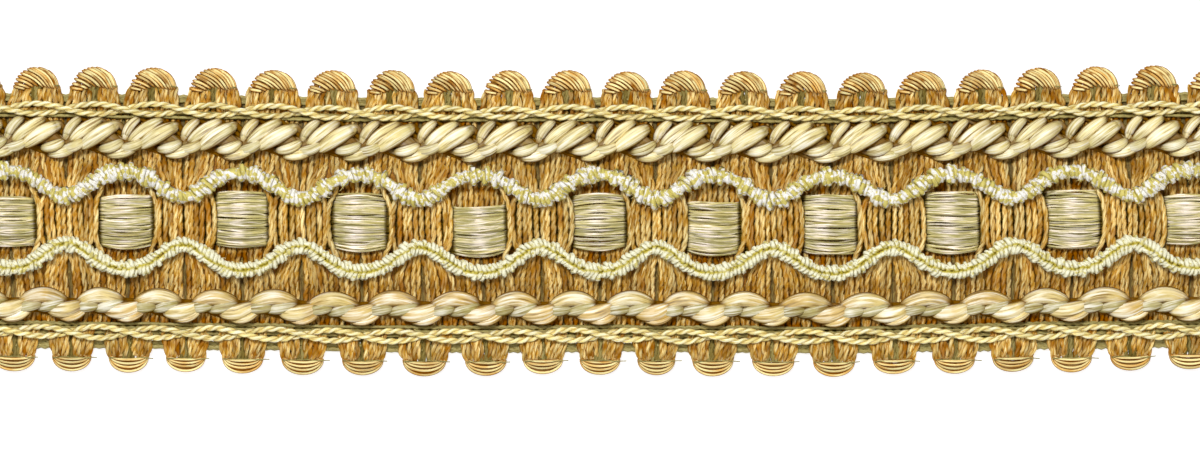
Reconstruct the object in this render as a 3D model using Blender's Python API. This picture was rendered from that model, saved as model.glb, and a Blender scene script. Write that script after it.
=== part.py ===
"""Gimp braid trim: a cut length of furnishing trim lying flat, face up.

Its length runs along X and its width along Y, and its face looks up along +Z.
The origin is at the middle of the flat underside. Lengths are in metres.

Places on the braid are worked out on an even lattice, u along and v across.
place() then carries them to where the hand of the weave has let them drift.
"""

import math
from collections import namedtuple

import bmesh
import bpy
from mathutils import Vector

MM = 0.001

# The repeat: one satin square and one gold bar make a repeat, two weft groups long.
REPEAT = 12.35 * MM
REPEATS = 11
GROUP = REPEAT / 2
HALF_LENGTH = REPEAT * REPEATS / 2
GAP = 0.3 * MM

# The woven ground, its edges across the braid and the channel for the filler.
GROUND_TOP_EDGE = 11.0 * MM
GROUND_BOTTOM_EDGE = -10.5 * MM
SLIT_DEPTH = 0.6 * MM
SLIT_SHOULDER = 0.35 * MM
SLIT_REACH = 1.7 * MM
SLIT_STEEPNESS = 4
CHANNEL_HALF = 3.7 * MM
CHANNEL_FLOOR = 0.5 * MM
CHANNEL_CEILING = 1.7 * MM
WINDOW_HALF = 2.85 * MM
WINDOW_TOP = 5.0 * MM
WINDOW_DRAFT = 0.05 * MM

# The satin filler band.
SATIN_UNDERSIDE = CHANNEL_FLOOR + GAP
SATIN_UNDER_BAR = CHANNEL_CEILING - GAP
SATIN_SHOULDER_HEIGHT = 2.0 * MM
SATIN_CROWN_HEIGHT = 2.25 * MM
SATIN_SHOULDER = 1.5 * MM
SATIN_FOOT = 2.45 * MM

# The two cream ropes, of three plies.
Rope = namedtuple("Rope", "middle wave narrowing ply_tip ply_valley height turns")
TOP_ROPE = Rope(8.72 * MM, 0.80 * MM, 0.08 * MM, 1.36 * MM, 0.92 * MM, 2.74 * MM, 3)
BOTTOM_ROPE = Rope(-8.60 * MM, 0.55 * MM, 0.05 * MM, 1.04 * MM, 0.70 * MM, 2.44 * MM, 2)
ROPE_RINGS_PER_TURN = 6

# The two wrapped wave cords.
WAVE_RADIUS = 0.65 * MM
WAVE_MIDDLE = 3.55 * MM
WAVE_SWING = 1.40 * MM
WAVE_BROADENING = 0.12 * MM
WAVE_LOW = 2.90 * MM
WAVE_HIGH = 3.40 * MM
WAVE_CLIMB_START = 1.0 * MM
WAVE_CLIMB_END = 3.6 * MM
WAVE_STEPS_PER_REPEAT = 8

# The two pairs of twined edge cords.
TOP_PAIR_PLACE = 11.95 * MM
BOTTOM_PAIR_PLACE = -11.35 * MM
PAIR_HEIGHT = 1.98 * MM
STRAND_RADIUS = 0.45 * MM
STRAND_OFFSET = 0.33 * MM
STRAND_FLANK_DEG = 75
STRAND_WAIST = 0.7
PAIR_RINGS_PER_REPEAT = 8

# The looped edges: a strip under the edge cords, and arches standing on it.
STRIP_THICKNESS = 0.85 * MM
TOP_STRIP = (GROUND_TOP_EDGE + GAP, 12.6 * MM)
BOTTOM_STRIP = (-12.1 * MM, GROUND_BOTTOM_EDGE - GAP)
TOP_ROOT = 12.45 * MM
BOTTOM_ROOT = -11.95 * MM
ARCH_HALF_WIDTH = 1.05 * MM
ARCH_HEIGHT = 1.5 * MM
ARCH_SHOULDER = 0.55
ARCH_FOOT = 0.9

# Edges sharper than this stay crisp on the twisted and looped pieces.
CRISP_DEG = 50

# One row for each satin square, from left to right, in millimetres: how far the
# upper edge, the centre row and the lower edge lie from even spacing, how far the
# whole braid drifts up, and where the filler's two edges lie.
Section = namedtuple("Section", "shift_top shift_mid shift_bottom drift satin_top satin_bottom")
SECTIONS = (
    Section(-0.20, 0.00, 0.60, 0.30, 2.30, -2.90),
    Section(-0.40, 0.00, 0.15, 0.20, 2.60, -3.10),
    Section(-0.30, -0.35, -0.30, 0.05, 3.20, -2.80),
    Section(-0.20, -0.40, -0.10, -0.15, 3.10, -3.00),
    Section(-0.35, -0.30, 0.45, -0.20, 1.80, -3.35),
    Section(-0.35, 0.00, 0.00, -0.10, 3.10, -2.90),
    Section(-0.60, -0.55, -0.60, -0.20, 2.30, -3.25),
    Section(-0.45, -0.80, -0.25, -0.30, 3.10, -3.15),
    Section(-0.40, -0.30, 0.00, -0.05, 3.20, -3.35),
    Section(-0.70, 0.05, -0.15, 0.20, 3.25, -3.10),
    Section(-0.90, 0.00, -0.15, 0.35, 2.50, -2.65),
)

# The ground's height across the braid, from its lower edge to its upper edge, in
# millimetres: low under the ropes, raised between, and highest on the gold bars.
# The last column is the share of SLIT_DEPTH that the slit in a bar's middle has.
Level = namedtuple("Level", "across height bar_slit")
LEVELS = (
    Level(-10.5, 1.1, 1.0),
    Level(-6.9, 1.1, 1.0),
    Level(-6.2, 1.7, 1.0),
    Level(-4.3, 2.1, 0.5),
    Level(-2.2, 2.4, 0.0),
    Level(0.0, 2.7, 0.0),
    Level(2.2, 2.4, 0.0),
    Level(4.3, 2.1, 0.5),
    Level(5.7, 1.7, 1.0),
    Level(6.4, 1.1, 1.0),
    Level(11.0, 1.1, 1.0),
)

# Half of a loop, from its root to its tip, in millimetres from the root's line,
# with the width of the yarn bundle as a share of ARCH_HALF_WIDTH.
Bend = namedtuple("Bend", "aside out width")
TOP_ARCH = (
    Bend(1.50, 0.00, 0.50),
    Bend(1.72, 1.00, 0.96),
    Bend(1.25, 2.15, 1.00),
    Bend(0.00, 2.60, 1.00),
)
BOTTOM_ARCH = (
    Bend(1.45, 0.00, 0.50),
    Bend(1.66, 1.05, 0.92),
    Bend(1.45, 2.55, 0.90),
    Bend(0.00, 3.34, 0.82),
)

# Colours of the yarns, as linear RGB.
GOLD = (0.52, 0.31, 0.07)
CREAM = (0.66, 0.56, 0.31)
PALE_GREEN = (0.58, 0.53, 0.28)
WRAP = (0.78, 0.74, 0.38)
THIN_CORD = (0.60, 0.50, 0.17)


def material(name, colour, roughness):
    """A plain yarn finish with its colour and roughness."""
    finish = bpy.data.materials.new(name)
    finish.use_nodes = True
    shader = finish.node_tree.nodes["Principled BSDF"]
    shader.inputs["Base Color"].default_value = (*colour, 1.0)
    shader.inputs["Roughness"].default_value = roughness
    shader.inputs["Metallic"].default_value = 0.0
    finish.diffuse_color = (*colour, 1.0)
    return finish


def column(name, u):
    """A column of SECTIONS read at u, eased from one row to the next, in metres."""
    row = u / REPEAT + (REPEATS - 1) / 2
    row = min(max(row, 0.0), REPEATS - 1.0)
    first = min(int(row), REPEATS - 2)
    share = row - first
    share = share * share * (3 - 2 * share)
    before = getattr(SECTIONS[first], name)
    after = getattr(SECTIONS[first + 1], name)
    return (before + (after - before) * share) * MM


def place(u, v, z):
    """The real place of a lattice point, with the drift of the weave."""
    middle = column("shift_mid", u)
    if v >= 0:
        edge = column("shift_top", u)
        share = v / GROUND_TOP_EDGE
    else:
        edge = column("shift_bottom", u)
        share = v / GROUND_BOTTOM_EDGE
    shift = middle + (edge - middle) * min(share, 1.0)
    if abs(u) > HALF_LENGTH - GROUP:
        shift *= max(0.0, (HALF_LENGTH - abs(u)) / GROUP)
    return Vector((u + shift, v + column("drift", u), z))


def smooth(value):
    """An eased step from 0 to 1."""
    value = min(max(value, 0.0), 1.0)
    return value * value * (3 - 2 * value)


def from_square(u):
    """How far u lies from the middle of the nearest satin square."""
    return u - round(u / REPEAT) * REPEAT


def add_object(name, data, collection, finish=None):
    """A new object in a collection, with its finish."""
    item = bpy.data.objects.new(name, data)
    collection.objects.link(item)
    if finish is not None:
        item.data.materials.append(finish)
    return item


def as_guide(item):
    """Marks a cutter or a profile, which isn't part of the braid."""
    item.hide_render = True
    item.display_type = "WIRE"
    return item


def slab(name, stations, rows, surface, floor, collection, finish=None):
    """A closed slab: a grid raised to surface(u, row) over a flat floor."""
    form = bmesh.new()
    bmesh.ops.create_grid(form, x_segments=len(stations) - 1, y_segments=len(rows) - 1, size=1.0)
    for vertex in form.verts:
        along = round((vertex.co.x + 1) / 2 * (len(stations) - 1))
        across = round((vertex.co.y + 1) / 2 * (len(rows) - 1))
        vertex.co = surface(stations[along], rows[across])
    rim = [edge for edge in form.edges if edge.is_boundary]
    skirt = bmesh.ops.extrude_edge_only(form, edges=rim)["geom"]
    for vertex in (item for item in skirt if isinstance(item, bmesh.types.BMVert)):
        vertex.co.z = floor
    bmesh.ops.edgeloop_fill(form, edges=[edge for edge in form.edges if edge.is_boundary])
    bmesh.ops.recalc_face_normals(form, faces=form.faces)
    mesh = bpy.data.meshes.new(name)
    form.to_mesh(mesh)
    form.free()
    return add_object(name, mesh, collection, finish)


def tube(name, runs, collection, finish=None, profile=None, radius=0.0):
    """A swept curve of one or more runs of points (place, tilt, width)."""
    data = bpy.data.curves.new(name, "CURVE")
    data.dimensions = "3D"
    data.twist_mode = "Z_UP"
    data.use_fill_caps = True
    if profile is None:
        data.bevel_depth = radius
        data.bevel_resolution = 1
    else:
        data.bevel_mode = "OBJECT"
        data.bevel_object = profile
    for run in runs:
        spline = data.splines.new("POLY")
        spline.points.add(len(run) - 1)
        for point, (co, tilt, width) in zip(spline.points, run):
            point.co = (*co, 1.0)
            point.tilt = tilt
            point.radius = width
    return add_object(name, data, collection, finish)


def outline(name, points, collection):
    """A closed profile curve that a tube is swept with."""
    data = bpy.data.curves.new(name, "CURVE")
    data.dimensions = "2D"
    spline = data.splines.new("POLY")
    spline.points.add(len(points) - 1)
    for point, (x, y) in zip(spline.points, points):
        point.co = (x, y, 0.0, 1.0)
    spline.use_cyclic_u = True
    return as_guide(add_object(name, data, collection))


def as_mesh(item, collection):
    """Turns a swept curve into a welded mesh object of the same name."""
    name = item.name
    bpy.context.view_layer.update()
    evaluated = item.evaluated_get(bpy.context.evaluated_depsgraph_get())
    mesh = bpy.data.meshes.new_from_object(evaluated)
    form = bmesh.new()
    form.from_mesh(mesh)
    bmesh.ops.remove_doubles(form, verts=form.verts, dist=0.001 * MM)
    bmesh.ops.triangulate(form, faces=form.faces, quad_method="SHORT_EDGE")
    bmesh.ops.recalc_face_normals(form, faces=form.faces)
    form.to_mesh(mesh)
    form.free()
    mesh.shade_smooth()
    mesh.set_sharp_from_angle(angle=math.radians(CRISP_DEG))
    matrix = item.matrix_world.copy()
    bpy.data.objects.remove(item)
    solid = bpy.data.objects.new(name, mesh)
    solid.matrix_world = matrix
    collection.objects.link(solid)
    return solid


def boolean(item, tool, operation):
    """Adds a Boolean modifier with the exact solver."""
    modifier = item.modifiers.new(tool.name, "BOOLEAN")
    modifier.operation = operation
    modifier.object = tool
    modifier.solver = "EXACT"


def even_stations(offsets, spacing, first, last):
    """Offsets repeated at each multiple of a spacing, kept inside the length."""
    places = [index * spacing + offset for index in range(first, last + 1) for offset in offsets]
    inside = [u for u in places if abs(u) < HALF_LENGTH - 0.1 * MM]
    return [-HALF_LENGTH, *inside, HALF_LENGTH]


def ground_surface(u, row):
    """The top of the weft ground: pillowed groups, parted by slits."""
    from_slit = abs(u - round(u / GROUP) * GROUP)
    in_bar = abs(from_square(u)) > GROUP / 2
    depth = SLIT_DEPTH * (row.bar_slit if in_bar else 1.0)
    sunk = depth * max(0.0, 1 - from_slit / SLIT_REACH) ** SLIT_STEEPNESS
    return place(u, row.across * MM, row.height * MM - sunk)


def ground_band(collection, cutters, finish):
    """The gold weft ground, with a channel cut under its bars for the filler."""
    offsets = (-SLIT_REACH, -SLIT_SHOULDER, 0.0, SLIT_SHOULDER, SLIT_REACH)
    stations = even_stations(offsets, GROUP, -REPEATS, REPEATS)
    band = slab("ground_band", stations, LEVELS, ground_surface, 0.0, collection, finish)

    def channel_surface(u, v):
        over_square = abs(from_square(u)) < WINDOW_HALF - WINDOW_DRAFT / 2
        return place(u, v, WINDOW_TOP if over_square else CHANNEL_CEILING)

    sides = (-WINDOW_HALF, WINDOW_DRAFT - WINDOW_HALF, WINDOW_HALF - WINDOW_DRAFT, WINDOW_HALF)
    cuts = even_stations(sides, REPEAT, -(REPEATS // 2), REPEATS // 2)
    cuts[0] -= REPEAT / 8
    cuts[-1] += REPEAT / 8
    walls = (-CHANNEL_HALF, CHANNEL_HALF)
    channel = slab("channel_cutter", cuts, walls, channel_surface, CHANNEL_FLOOR, cutters)
    boolean(band, as_guide(channel), "DIFFERENCE")
    return band


def satin_height(u):
    """The filler's top: arched over each square, thin under the bars."""
    away = abs(from_square(u))
    if away >= SATIN_FOOT:
        return SATIN_UNDER_BAR
    if away >= SATIN_SHOULDER:
        share = (SATIN_FOOT - away) / (SATIN_FOOT - SATIN_SHOULDER)
        return SATIN_UNDER_BAR + (SATIN_SHOULDER_HEIGHT - SATIN_UNDER_BAR) * share
    share = 1 - away / SATIN_SHOULDER
    return SATIN_SHOULDER_HEIGHT + (SATIN_CROWN_HEIGHT - SATIN_SHOULDER_HEIGHT) * share


def satin_band(collection, finish):
    """The flat cream filler, over the ground and under the gold bars."""
    offsets = (-SATIN_FOOT, -SATIN_SHOULDER, 0.0, SATIN_SHOULDER, SATIN_FOOT)
    stations = even_stations(offsets, REPEAT, -(REPEATS // 2), REPEATS // 2)
    lower, upper = 0, 1

    def surface(u, row):
        side = "satin_top" if row == upper else "satin_bottom"
        return place(u, column(side, u), satin_height(u))

    return slab("satin_band", stations, (lower, upper), surface, SATIN_UNDERSIDE, collection, finish)


def rope_profile(name, rope, cutters):
    """Three plies seen end on: three tips with valleys between."""
    points = []
    for index in range(6):
        reach = rope.ply_valley if index % 2 else rope.ply_tip
        angle = index * math.pi / 3
        points.append((reach * math.cos(angle), reach * math.sin(angle)))
    return outline(name, points, cutters)


def cream_rope(name, rope, collection, cutters, finish):
    """A three-ply rope laid in small waves, low at each slit of the ground."""
    profile = rope_profile(name + "_profile", rope, cutters)
    steps = rope.turns * REPEATS * ROPE_RINGS_PER_TURN
    rest = LEVELS[0].height * MM + GAP + rope.height / 2
    flatten = rope.height / (2 * rope.ply_tip)
    run = []
    for step in range(steps + 1):
        u = -HALF_LENGTH + 2 * HALF_LENGTH * step / steps
        phase = 2 * math.pi * u / GROUP
        v = rope.middle - rope.wave * math.cos(phase) - rope.narrowing * math.cos(2 * phase)
        turn = -2 * math.pi * step / ROPE_RINGS_PER_TURN
        run.append((place(u, v, 0.0), turn, 1.0))
    solid = as_mesh(tube(name, [run], collection, finish, profile=profile), collection)
    solid.scale.z = flatten
    solid.location.z = rest
    return solid


def wave_place(u, side):
    """The centre of a wave cord: far out over the squares, close in over the bars."""
    away = abs(from_square(u))
    phase = 2 * math.pi * away / REPEAT
    reach = WAVE_MIDDLE + WAVE_SWING * math.cos(phase) - WAVE_BROADENING * math.cos(2 * phase)
    climb = smooth((away - WAVE_CLIMB_START) / (WAVE_CLIMB_END - WAVE_CLIMB_START))
    return place(u, side * reach, WAVE_LOW + (WAVE_HIGH - WAVE_LOW) * climb)


def wave_cord(name, side, collection, finish):
    """A wrapped cord that waves along one side of the row of squares."""
    steps = REPEATS * WAVE_STEPS_PER_REPEAT
    places = [-HALF_LENGTH + 2 * HALF_LENGTH * step / steps for step in range(steps + 1)]
    run = [(wave_place(u, side), 0.0, 1.0) for u in places]
    return tube(name, [run], collection, finish, radius=WAVE_RADIUS)


def pair_profile(cutters):
    """Two thin cords seen end on, side by side, with a waist between."""
    points = []
    for side in (1, -1):
        for angle in (-STRAND_FLANK_DEG, 0, STRAND_FLANK_DEG):
            turn = math.radians(angle)
            x = side * (STRAND_OFFSET + STRAND_RADIUS * math.cos(turn))
            points.append((x, side * STRAND_RADIUS * math.sin(turn)))
        points.append((0.0, side * STRAND_RADIUS * STRAND_WAIST))
    return outline("edge_pair_profile", points, cutters)


def edge_cord(name, v, profile, collection, finish):
    """Two thin cords twined round each other, one turn in each repeat."""
    steps = REPEATS * PAIR_RINGS_PER_REPEAT
    run = []
    for step in range(steps + 1):
        u = -HALF_LENGTH + 2 * HALF_LENGTH * step / steps
        turn = 2 * math.pi * step / PAIR_RINGS_PER_REPEAT
        run.append((place(u, v, PAIR_HEIGHT), turn, 1.0))
    return as_mesh(tube(name, [run], collection, finish, profile=profile), collection)


def arch_profile(cutters):
    """A yarn bundle seen end on, flat where it lies on the table."""
    side = ARCH_HALF_WIDTH
    foot = ARCH_HALF_WIDTH * ARCH_FOOT
    shoulder = ARCH_HEIGHT * ARCH_SHOULDER
    points = ((-foot, 0.0), (foot, 0.0), (side, shoulder), (0.0, ARCH_HEIGHT), (-side, shoulder))
    return outline("arch_profile", points, cutters)


def arch_run(centre, root, arch, side):
    """The points of one loop, left to right, or of the half that the cut leaves."""
    bends = [(-bend.aside, bend.out, bend.width) for bend in arch]
    bends += [(bend.aside, bend.out, bend.width) for bend in reversed(arch[:-1])]
    run = []
    for aside, out, width in bends:
        u = centre + aside * MM
        if abs(u) <= HALF_LENGTH + 0.001 * MM:
            run.append((place(u, root + side * out * MM, 0.0), 0.0, width))
    return run


def loop_edge(name, centres, root, strip, arch, side, profile, collection, cutters, finish):
    """A row of loops, their roots fused into a narrow strip."""
    stations = even_stations((0.0,), GROUP, -REPEATS, REPEATS)
    solid = slab(
        name, stations, strip, lambda u, v: place(u, v, STRIP_THICKNESS), 0.0, collection, finish
    )
    runs = [arch_run(centre, root, arch, side) for centre in centres]
    loops = as_mesh(tube(name + "_arches", runs, cutters, profile=profile), cutters)
    boolean(solid, as_guide(loops), "UNION")
    return solid


def clear_scene():
    """Starts from an empty scene."""
    for item in list(bpy.data.objects):
        bpy.data.objects.remove(item)


def add_collection(name):
    """A new collection in the scene."""
    collection = bpy.data.collections.new(name)
    bpy.context.scene.collection.children.link(collection)
    return collection


def main():
    """Builds the braid."""
    clear_scene()
    braid = add_collection("gimp_braid_trim")
    cutters = add_collection("cutters_and_profiles")

    gold = material("gold_yarn", GOLD, 0.45)
    satin = material("cream_satin", PALE_GREEN, 0.3)
    rope = material("cream_rope_yarn", CREAM, 0.35)
    wrap = material("white_and_yellow_wrap", WRAP, 0.6)
    thin = material("pale_green_cord", THIN_CORD, 0.5)

    ground_band(braid, cutters, gold)
    satin_band(braid, satin)
    cream_rope("cream_rope_top", TOP_ROPE, braid, cutters, rope)
    cream_rope("cream_rope_bottom", BOTTOM_ROPE, braid, cutters, rope)
    wave_cord("wave_cord_top", 1, braid, wrap)
    wave_cord("wave_cord_bottom", -1, braid, wrap)
    pair = pair_profile(cutters)
    edge_cord("edge_cord_top", TOP_PAIR_PLACE, pair, braid, thin)
    edge_cord("edge_cord_bottom", BOTTOM_PAIR_PLACE, pair, braid, thin)

    bundle = arch_profile(cutters)
    between = [(index + 0.5) * GROUP for index in range(-REPEATS, REPEATS)]
    at_slits = [index * GROUP for index in range(-REPEATS, REPEATS + 1)]
    loop_edge(
        "loop_edge_top", between, TOP_ROOT, TOP_STRIP, TOP_ARCH, 1, bundle, braid, cutters, gold
    )
    loop_edge(
        "loop_edge_bottom", at_slits, BOTTOM_ROOT, BOTTOM_STRIP, BOTTOM_ARCH, -1, bundle,
        braid, cutters, gold
    )
    bpy.context.view_layer.update()


main()
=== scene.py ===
"""Dresses a cut length of gimp braid, lying face up, with its yarns, cords and loops.

The braid's length runs along X and its width along Y, and its face looks up along +Z.
Places are worked out on an even lattice, u along and v across, and place() carries
them to where the hand of the weave has let them drift. Lengths are in metres.
"""

import math
from collections import namedtuple

import bpy
import numpy as np
from bpy.props import FloatProperty, FloatVectorProperty, IntProperty, PointerProperty
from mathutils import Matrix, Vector


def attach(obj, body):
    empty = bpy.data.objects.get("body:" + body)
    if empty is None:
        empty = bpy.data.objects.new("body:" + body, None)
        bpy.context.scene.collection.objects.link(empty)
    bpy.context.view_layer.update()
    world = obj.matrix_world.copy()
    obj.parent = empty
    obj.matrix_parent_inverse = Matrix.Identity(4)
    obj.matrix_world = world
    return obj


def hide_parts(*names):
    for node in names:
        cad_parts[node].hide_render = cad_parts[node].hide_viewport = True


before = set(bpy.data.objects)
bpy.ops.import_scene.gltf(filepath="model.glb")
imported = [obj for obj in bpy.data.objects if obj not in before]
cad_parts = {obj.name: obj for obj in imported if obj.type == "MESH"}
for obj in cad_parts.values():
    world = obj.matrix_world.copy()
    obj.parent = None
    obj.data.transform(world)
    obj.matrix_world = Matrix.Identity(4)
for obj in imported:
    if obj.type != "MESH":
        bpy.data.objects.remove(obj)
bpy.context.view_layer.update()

bl_info = {
    "name": "Gimp Braid Trim",
    "version": (1, 0, 0),
    "blender": (4, 5, 0),
    "location": "3D View > Sidebar > Braid",
    "description": "Dresses a cut length of gimp braid with its yarns, cords, loops and filler",
    "category": "Object",
}

MM = 0.001
TURN = 2 * math.pi
WHITE = (1.0, 1.0, 1.0, 1.0)

# The repeat and the lattice, as the solids have them.
REPEAT = 12.35 * MM
REPEATS = 11
GROUP = REPEAT / 2
HALF_LENGTH = REPEAT * REPEATS / 2
GROUND_TOP_EDGE = 11.0 * MM
GROUND_BOTTOM_EDGE = -10.5 * MM
SLIT_DEPTH = 0.6 * MM
SLIT_REACH = 1.7 * MM
SLIT_STEEPNESS = 4

# One row for each satin square, from left to right, in millimetres: how far the
# upper edge, the centre row and the lower edge lie from even spacing, how far the
# whole braid drifts up, and where the filler's two edges lie.
Section = namedtuple("Section", "shift_top shift_mid shift_bottom drift satin_top satin_bottom")
SECTIONS = (
    Section(-0.20, 0.00, 0.60, 0.30, 2.30, -2.90),
    Section(-0.40, 0.00, 0.15, 0.20, 2.60, -3.10),
    Section(-0.30, -0.35, -0.30, 0.05, 3.20, -2.80),
    Section(-0.20, -0.40, -0.10, -0.15, 3.10, -3.00),
    Section(-0.35, -0.30, 0.45, -0.20, 1.80, -3.35),
    Section(-0.35, 0.00, 0.00, -0.10, 3.10, -2.90),
    Section(-0.60, -0.55, -0.60, -0.20, 2.30, -3.25),
    Section(-0.45, -0.80, -0.25, -0.30, 3.10, -3.15),
    Section(-0.40, -0.30, 0.00, -0.05, 3.20, -3.35),
    Section(-0.70, 0.05, -0.15, 0.20, 3.25, -3.10),
    Section(-0.90, 0.00, -0.15, 0.35, 2.50, -2.65),
)

# The ground's height across the braid in millimetres, and the share of SLIT_DEPTH
# that the slit in a gold bar's middle has there.
Level = namedtuple("Level", "across height bar_slit")
LEVELS = (
    Level(-10.5, 1.1, 1.0),
    Level(-6.9, 1.1, 1.0),
    Level(-6.2, 1.7, 1.0),
    Level(-4.3, 2.1, 0.5),
    Level(-2.2, 2.4, 0.0),
    Level(0.0, 2.7, 0.0),
    Level(2.2, 2.4, 0.0),
    Level(4.3, 2.1, 0.5),
    Level(5.7, 1.7, 1.0),
    Level(6.4, 1.1, 1.0),
    Level(11.0, 1.1, 1.0),
)

# Weft yarns.
YARNS_PER_GROUP = 11
WEFT_YARNS = REPEATS * 2 * YARNS_PER_GROUP
YARN_PACE = GROUP / YARNS_PER_GROUP
WEFT_POINTS = 52
CHANNEL_SHORE = 3.5 * MM
CHANNEL_SLOPE = 1.2 * MM
UNDER_FILLER = 0.55 * MM
YARN_SINK = 0.62 * MM
SLIT_PINCH = 0.07
BAR_SPREAD = 1.05
BAR_DRAW = 0.24
BAR_DRAW_PLACE = 3.8 * MM
BAR_DRAW_REACH = 1.3 * MM
WEFT_ASIDE = 0.13 * MM
WEFT_LIFT = 0.06 * MM
# How strong the painted highlights and painted shade along a weft yarn are, and the painted shadow that
# a cord casts on it.
WEFT_SHEEN = 0.85
WEFT_SHADE = 0.65

# Where the weft lies in the shade of a cord, in millimetres across.
Band = namedtuple("Band", "across reach squares_only")
SHADED_BANDS = (
    Band(10.9, 0.9, False),
    Band(-10.6, 0.8, False),
    Band(3.7, 0.5, True),
    Band(-3.7, 0.5, True),
)

# Filler. The marks say how far from a square's middle its points lie, in millimetres.
SQUARE_HALF = 2.85 * MM
FILLER_MARKS = (0.0, 0.6, 1.2, 1.8, 2.25, 2.45, 2.6, 2.75, 2.9, 3.05, 3.4, 4.2, 5.2)
FILLER_EDGE = 2.9 * MM
FILLER_DROP = 0.42 * MM
FILLER_LOW = 1.35 * MM
FILLER_CROWN = 2.25 * MM
FILLER_DOME = 0.25 * MM
FILLER_SHOULDER = 0.45 * MM
FILLER_LEAN = 0.14 * MM
# Some filler strands lie lower and are painted in shade. A painted highlight runs down each square, as
# wide as its shine reach.
FILLER_SUNK_SHARE = 0.12
FILLER_SUNK = 0.09 * MM
FILLER_SHINE = 1.6
FILLER_SHINE_REACH = 0.8 * MM
FILLER_PLY = 0.125 * MM

# Ropes. Each lies along its middle line. At every slit of the ground it dips down over
# its reach, and over its grip its radius is less by its pinch.
Rope = namedtuple("Rope", "middle dip reach radius pinch grip seed")
TOP_ROPE = Rope(9.20 * MM, 1.50 * MM, 1.90 * MM, 1.55 * MM, 0.50 * MM, 0.95 * MM, 11)
BOTTOM_ROPE = Rope(-8.05 * MM, 1.35 * MM, 1.90 * MM, 1.20 * MM, -0.05 * MM, 1.90 * MM, 12)
ROPE_REST = 1.00 * MM
ROPE_POINTS = 24
CORE_SHARE = 0.60

# Each ply of a rope crosses the rope's face once in every group, and goes back under
# it. In millimetres: along from the slit on the left and up from the rope's middle
# line, at the crossing's lower and upper end; then how far it bends, how wide it is,
# and its tone, brighter when higher. A ply of the lower rope below 0.3 is sage.
Ply = namedtuple("Ply", "from_u from_v to_u to_v bend width tone")
TOP_PLIES = (
    Ply(5.95, -1.75, 8.30, -1.00, -0.20, 1.25, 0.40),
    Ply(3.75, -1.75, 6.05, -0.95, -0.20, 1.25, 0.60),
    Ply(4.50, -2.35, 7.60, -1.35, -0.25, 1.25, 0.80),
    Ply(0.00, -0.80, 1.75, 1.45, 0.26, 1.20, 0.75),
    Ply(0.80, -0.95, 3.95, 1.25, 0.14, 1.35, 0.80),
    Ply(1.85, -1.50, 5.60, 0.80, 0.10, 1.75, 0.70),
)
BOTTOM_PLIES = (
    Ply(0.60, -1.15, 3.10, -0.75, 0.00, 1.35, 0.22),
    Ply(2.75, -1.25, 5.60, -0.60, 0.00, 1.35, 0.26),
    Ply(1.05, -0.40, 5.60, -0.40, 0.60, 1.75, 0.60),
    Ply(5.10, -2.10, 7.90, -1.20, -0.30, 1.20, 0.95),
    Ply(4.05, -1.45, 7.50, -0.75, -0.25, 1.80, 0.70),
)
PLY_OVER = 14
PLY_UNDER = 4
PLY_DROP = 0.50 * MM
PLY_BACK = 1.05 * MM
PLY_BACK_SIZE = 0.35
PLY_UNIT = 0.5 * MM
PLY_RIDGES = 0.08

# Wave cords.
WAVE_MIDDLE = 3.92 * MM
WAVE_SWING = 1.31 * MM
WAVE_BROADENING = 0.16 * MM
WAVE_LOW = 2.90 * MM
WAVE_HIGH = 3.40 * MM
WAVE_CLIMB_START = 1.0 * MM
WAVE_CLIMB_END = 3.6 * MM
WAVE_POINTS = 150

# The threads wrapped round each wave cord: how far each lies to the side, its radius,
# its lay, the hand of its twist and its tone.
Wrap = namedtuple("Wrap", "aside thread lay hand tone")
TOP_WRAPS = (Wrap(0.0, 0.25 * MM, 0.58 * MM, 1, 0.5),)
BOTTOM_WRAPS = (
    Wrap(0.35 * MM, 0.21 * MM, 0.29 * MM, 1, 1.0),
    Wrap(-0.35 * MM, 0.21 * MM, 0.29 * MM, -1, 0.0),
)

# Edge cords.
TOP_PAIR_PLACE = 11.55 * MM
BOTTOM_PAIR_PLACE = -11.70 * MM
PAIR_HEIGHT = 1.98 * MM
PAIR_OFFSET = 0.54 * MM
PAIR_POINTS = 740

# Loops. The margin is how far past a cut end a loop may reach, and how far short of it
# the yarns under its legs stay.
TOP_ROOT = 12.45 * MM
BOTTOM_ROOT = -11.95 * MM
CUT_MARGIN = 0.4 * MM

# Fuzz. One row for each piece that it stands on: how many hairs to the square metre,
# how long they are, and their seed.
HAIR_POINTS = 4
HAIR_BEND = 0.6
HAIR_RADIUS = 0.026 * MM
FUZZY_PIECES = (
    ("wave_cord_top_thread_0", 8e5, 0.38 * MM, 21),
    ("wave_cord_bottom_thread_0", 6e5, 0.26 * MM, 22),
    ("wave_cord_bottom_thread_1", 6e5, 0.26 * MM, 23),
)

# The camera: how wide its view is and how far its middle lies up the braid, and in
# millimetres its lens and sensor.
VIEW_WIDTH = 125.5 * MM
VIEW_MIDDLE_Y = -0.31 * MM
LENS = 200.0
SENSOR = 36.0


def screen(red, green, blue):
    """A colour given in screen values from 0 to 255, as linear RGB."""
    values = []
    for value in (red, green, blue):
        share = value / 255
        linear = share / 12.92 if share <= 0.04045 else ((share + 0.055) / 1.055) ** 2.4
        values.append(linear)
    return tuple(values)


def length(name, description, default):
    """A length that a user can change."""
    return FloatProperty(
        name=name, description=description, default=default, min=0.0, unit="LENGTH", precision=5
    )


def colour(name, description, default):
    """A colour that a user can change."""
    return FloatVectorProperty(
        name=name, description=description, default=screen(*default),
        size=3, min=0.0, max=1.0, subtype="COLOR",
    )


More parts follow.
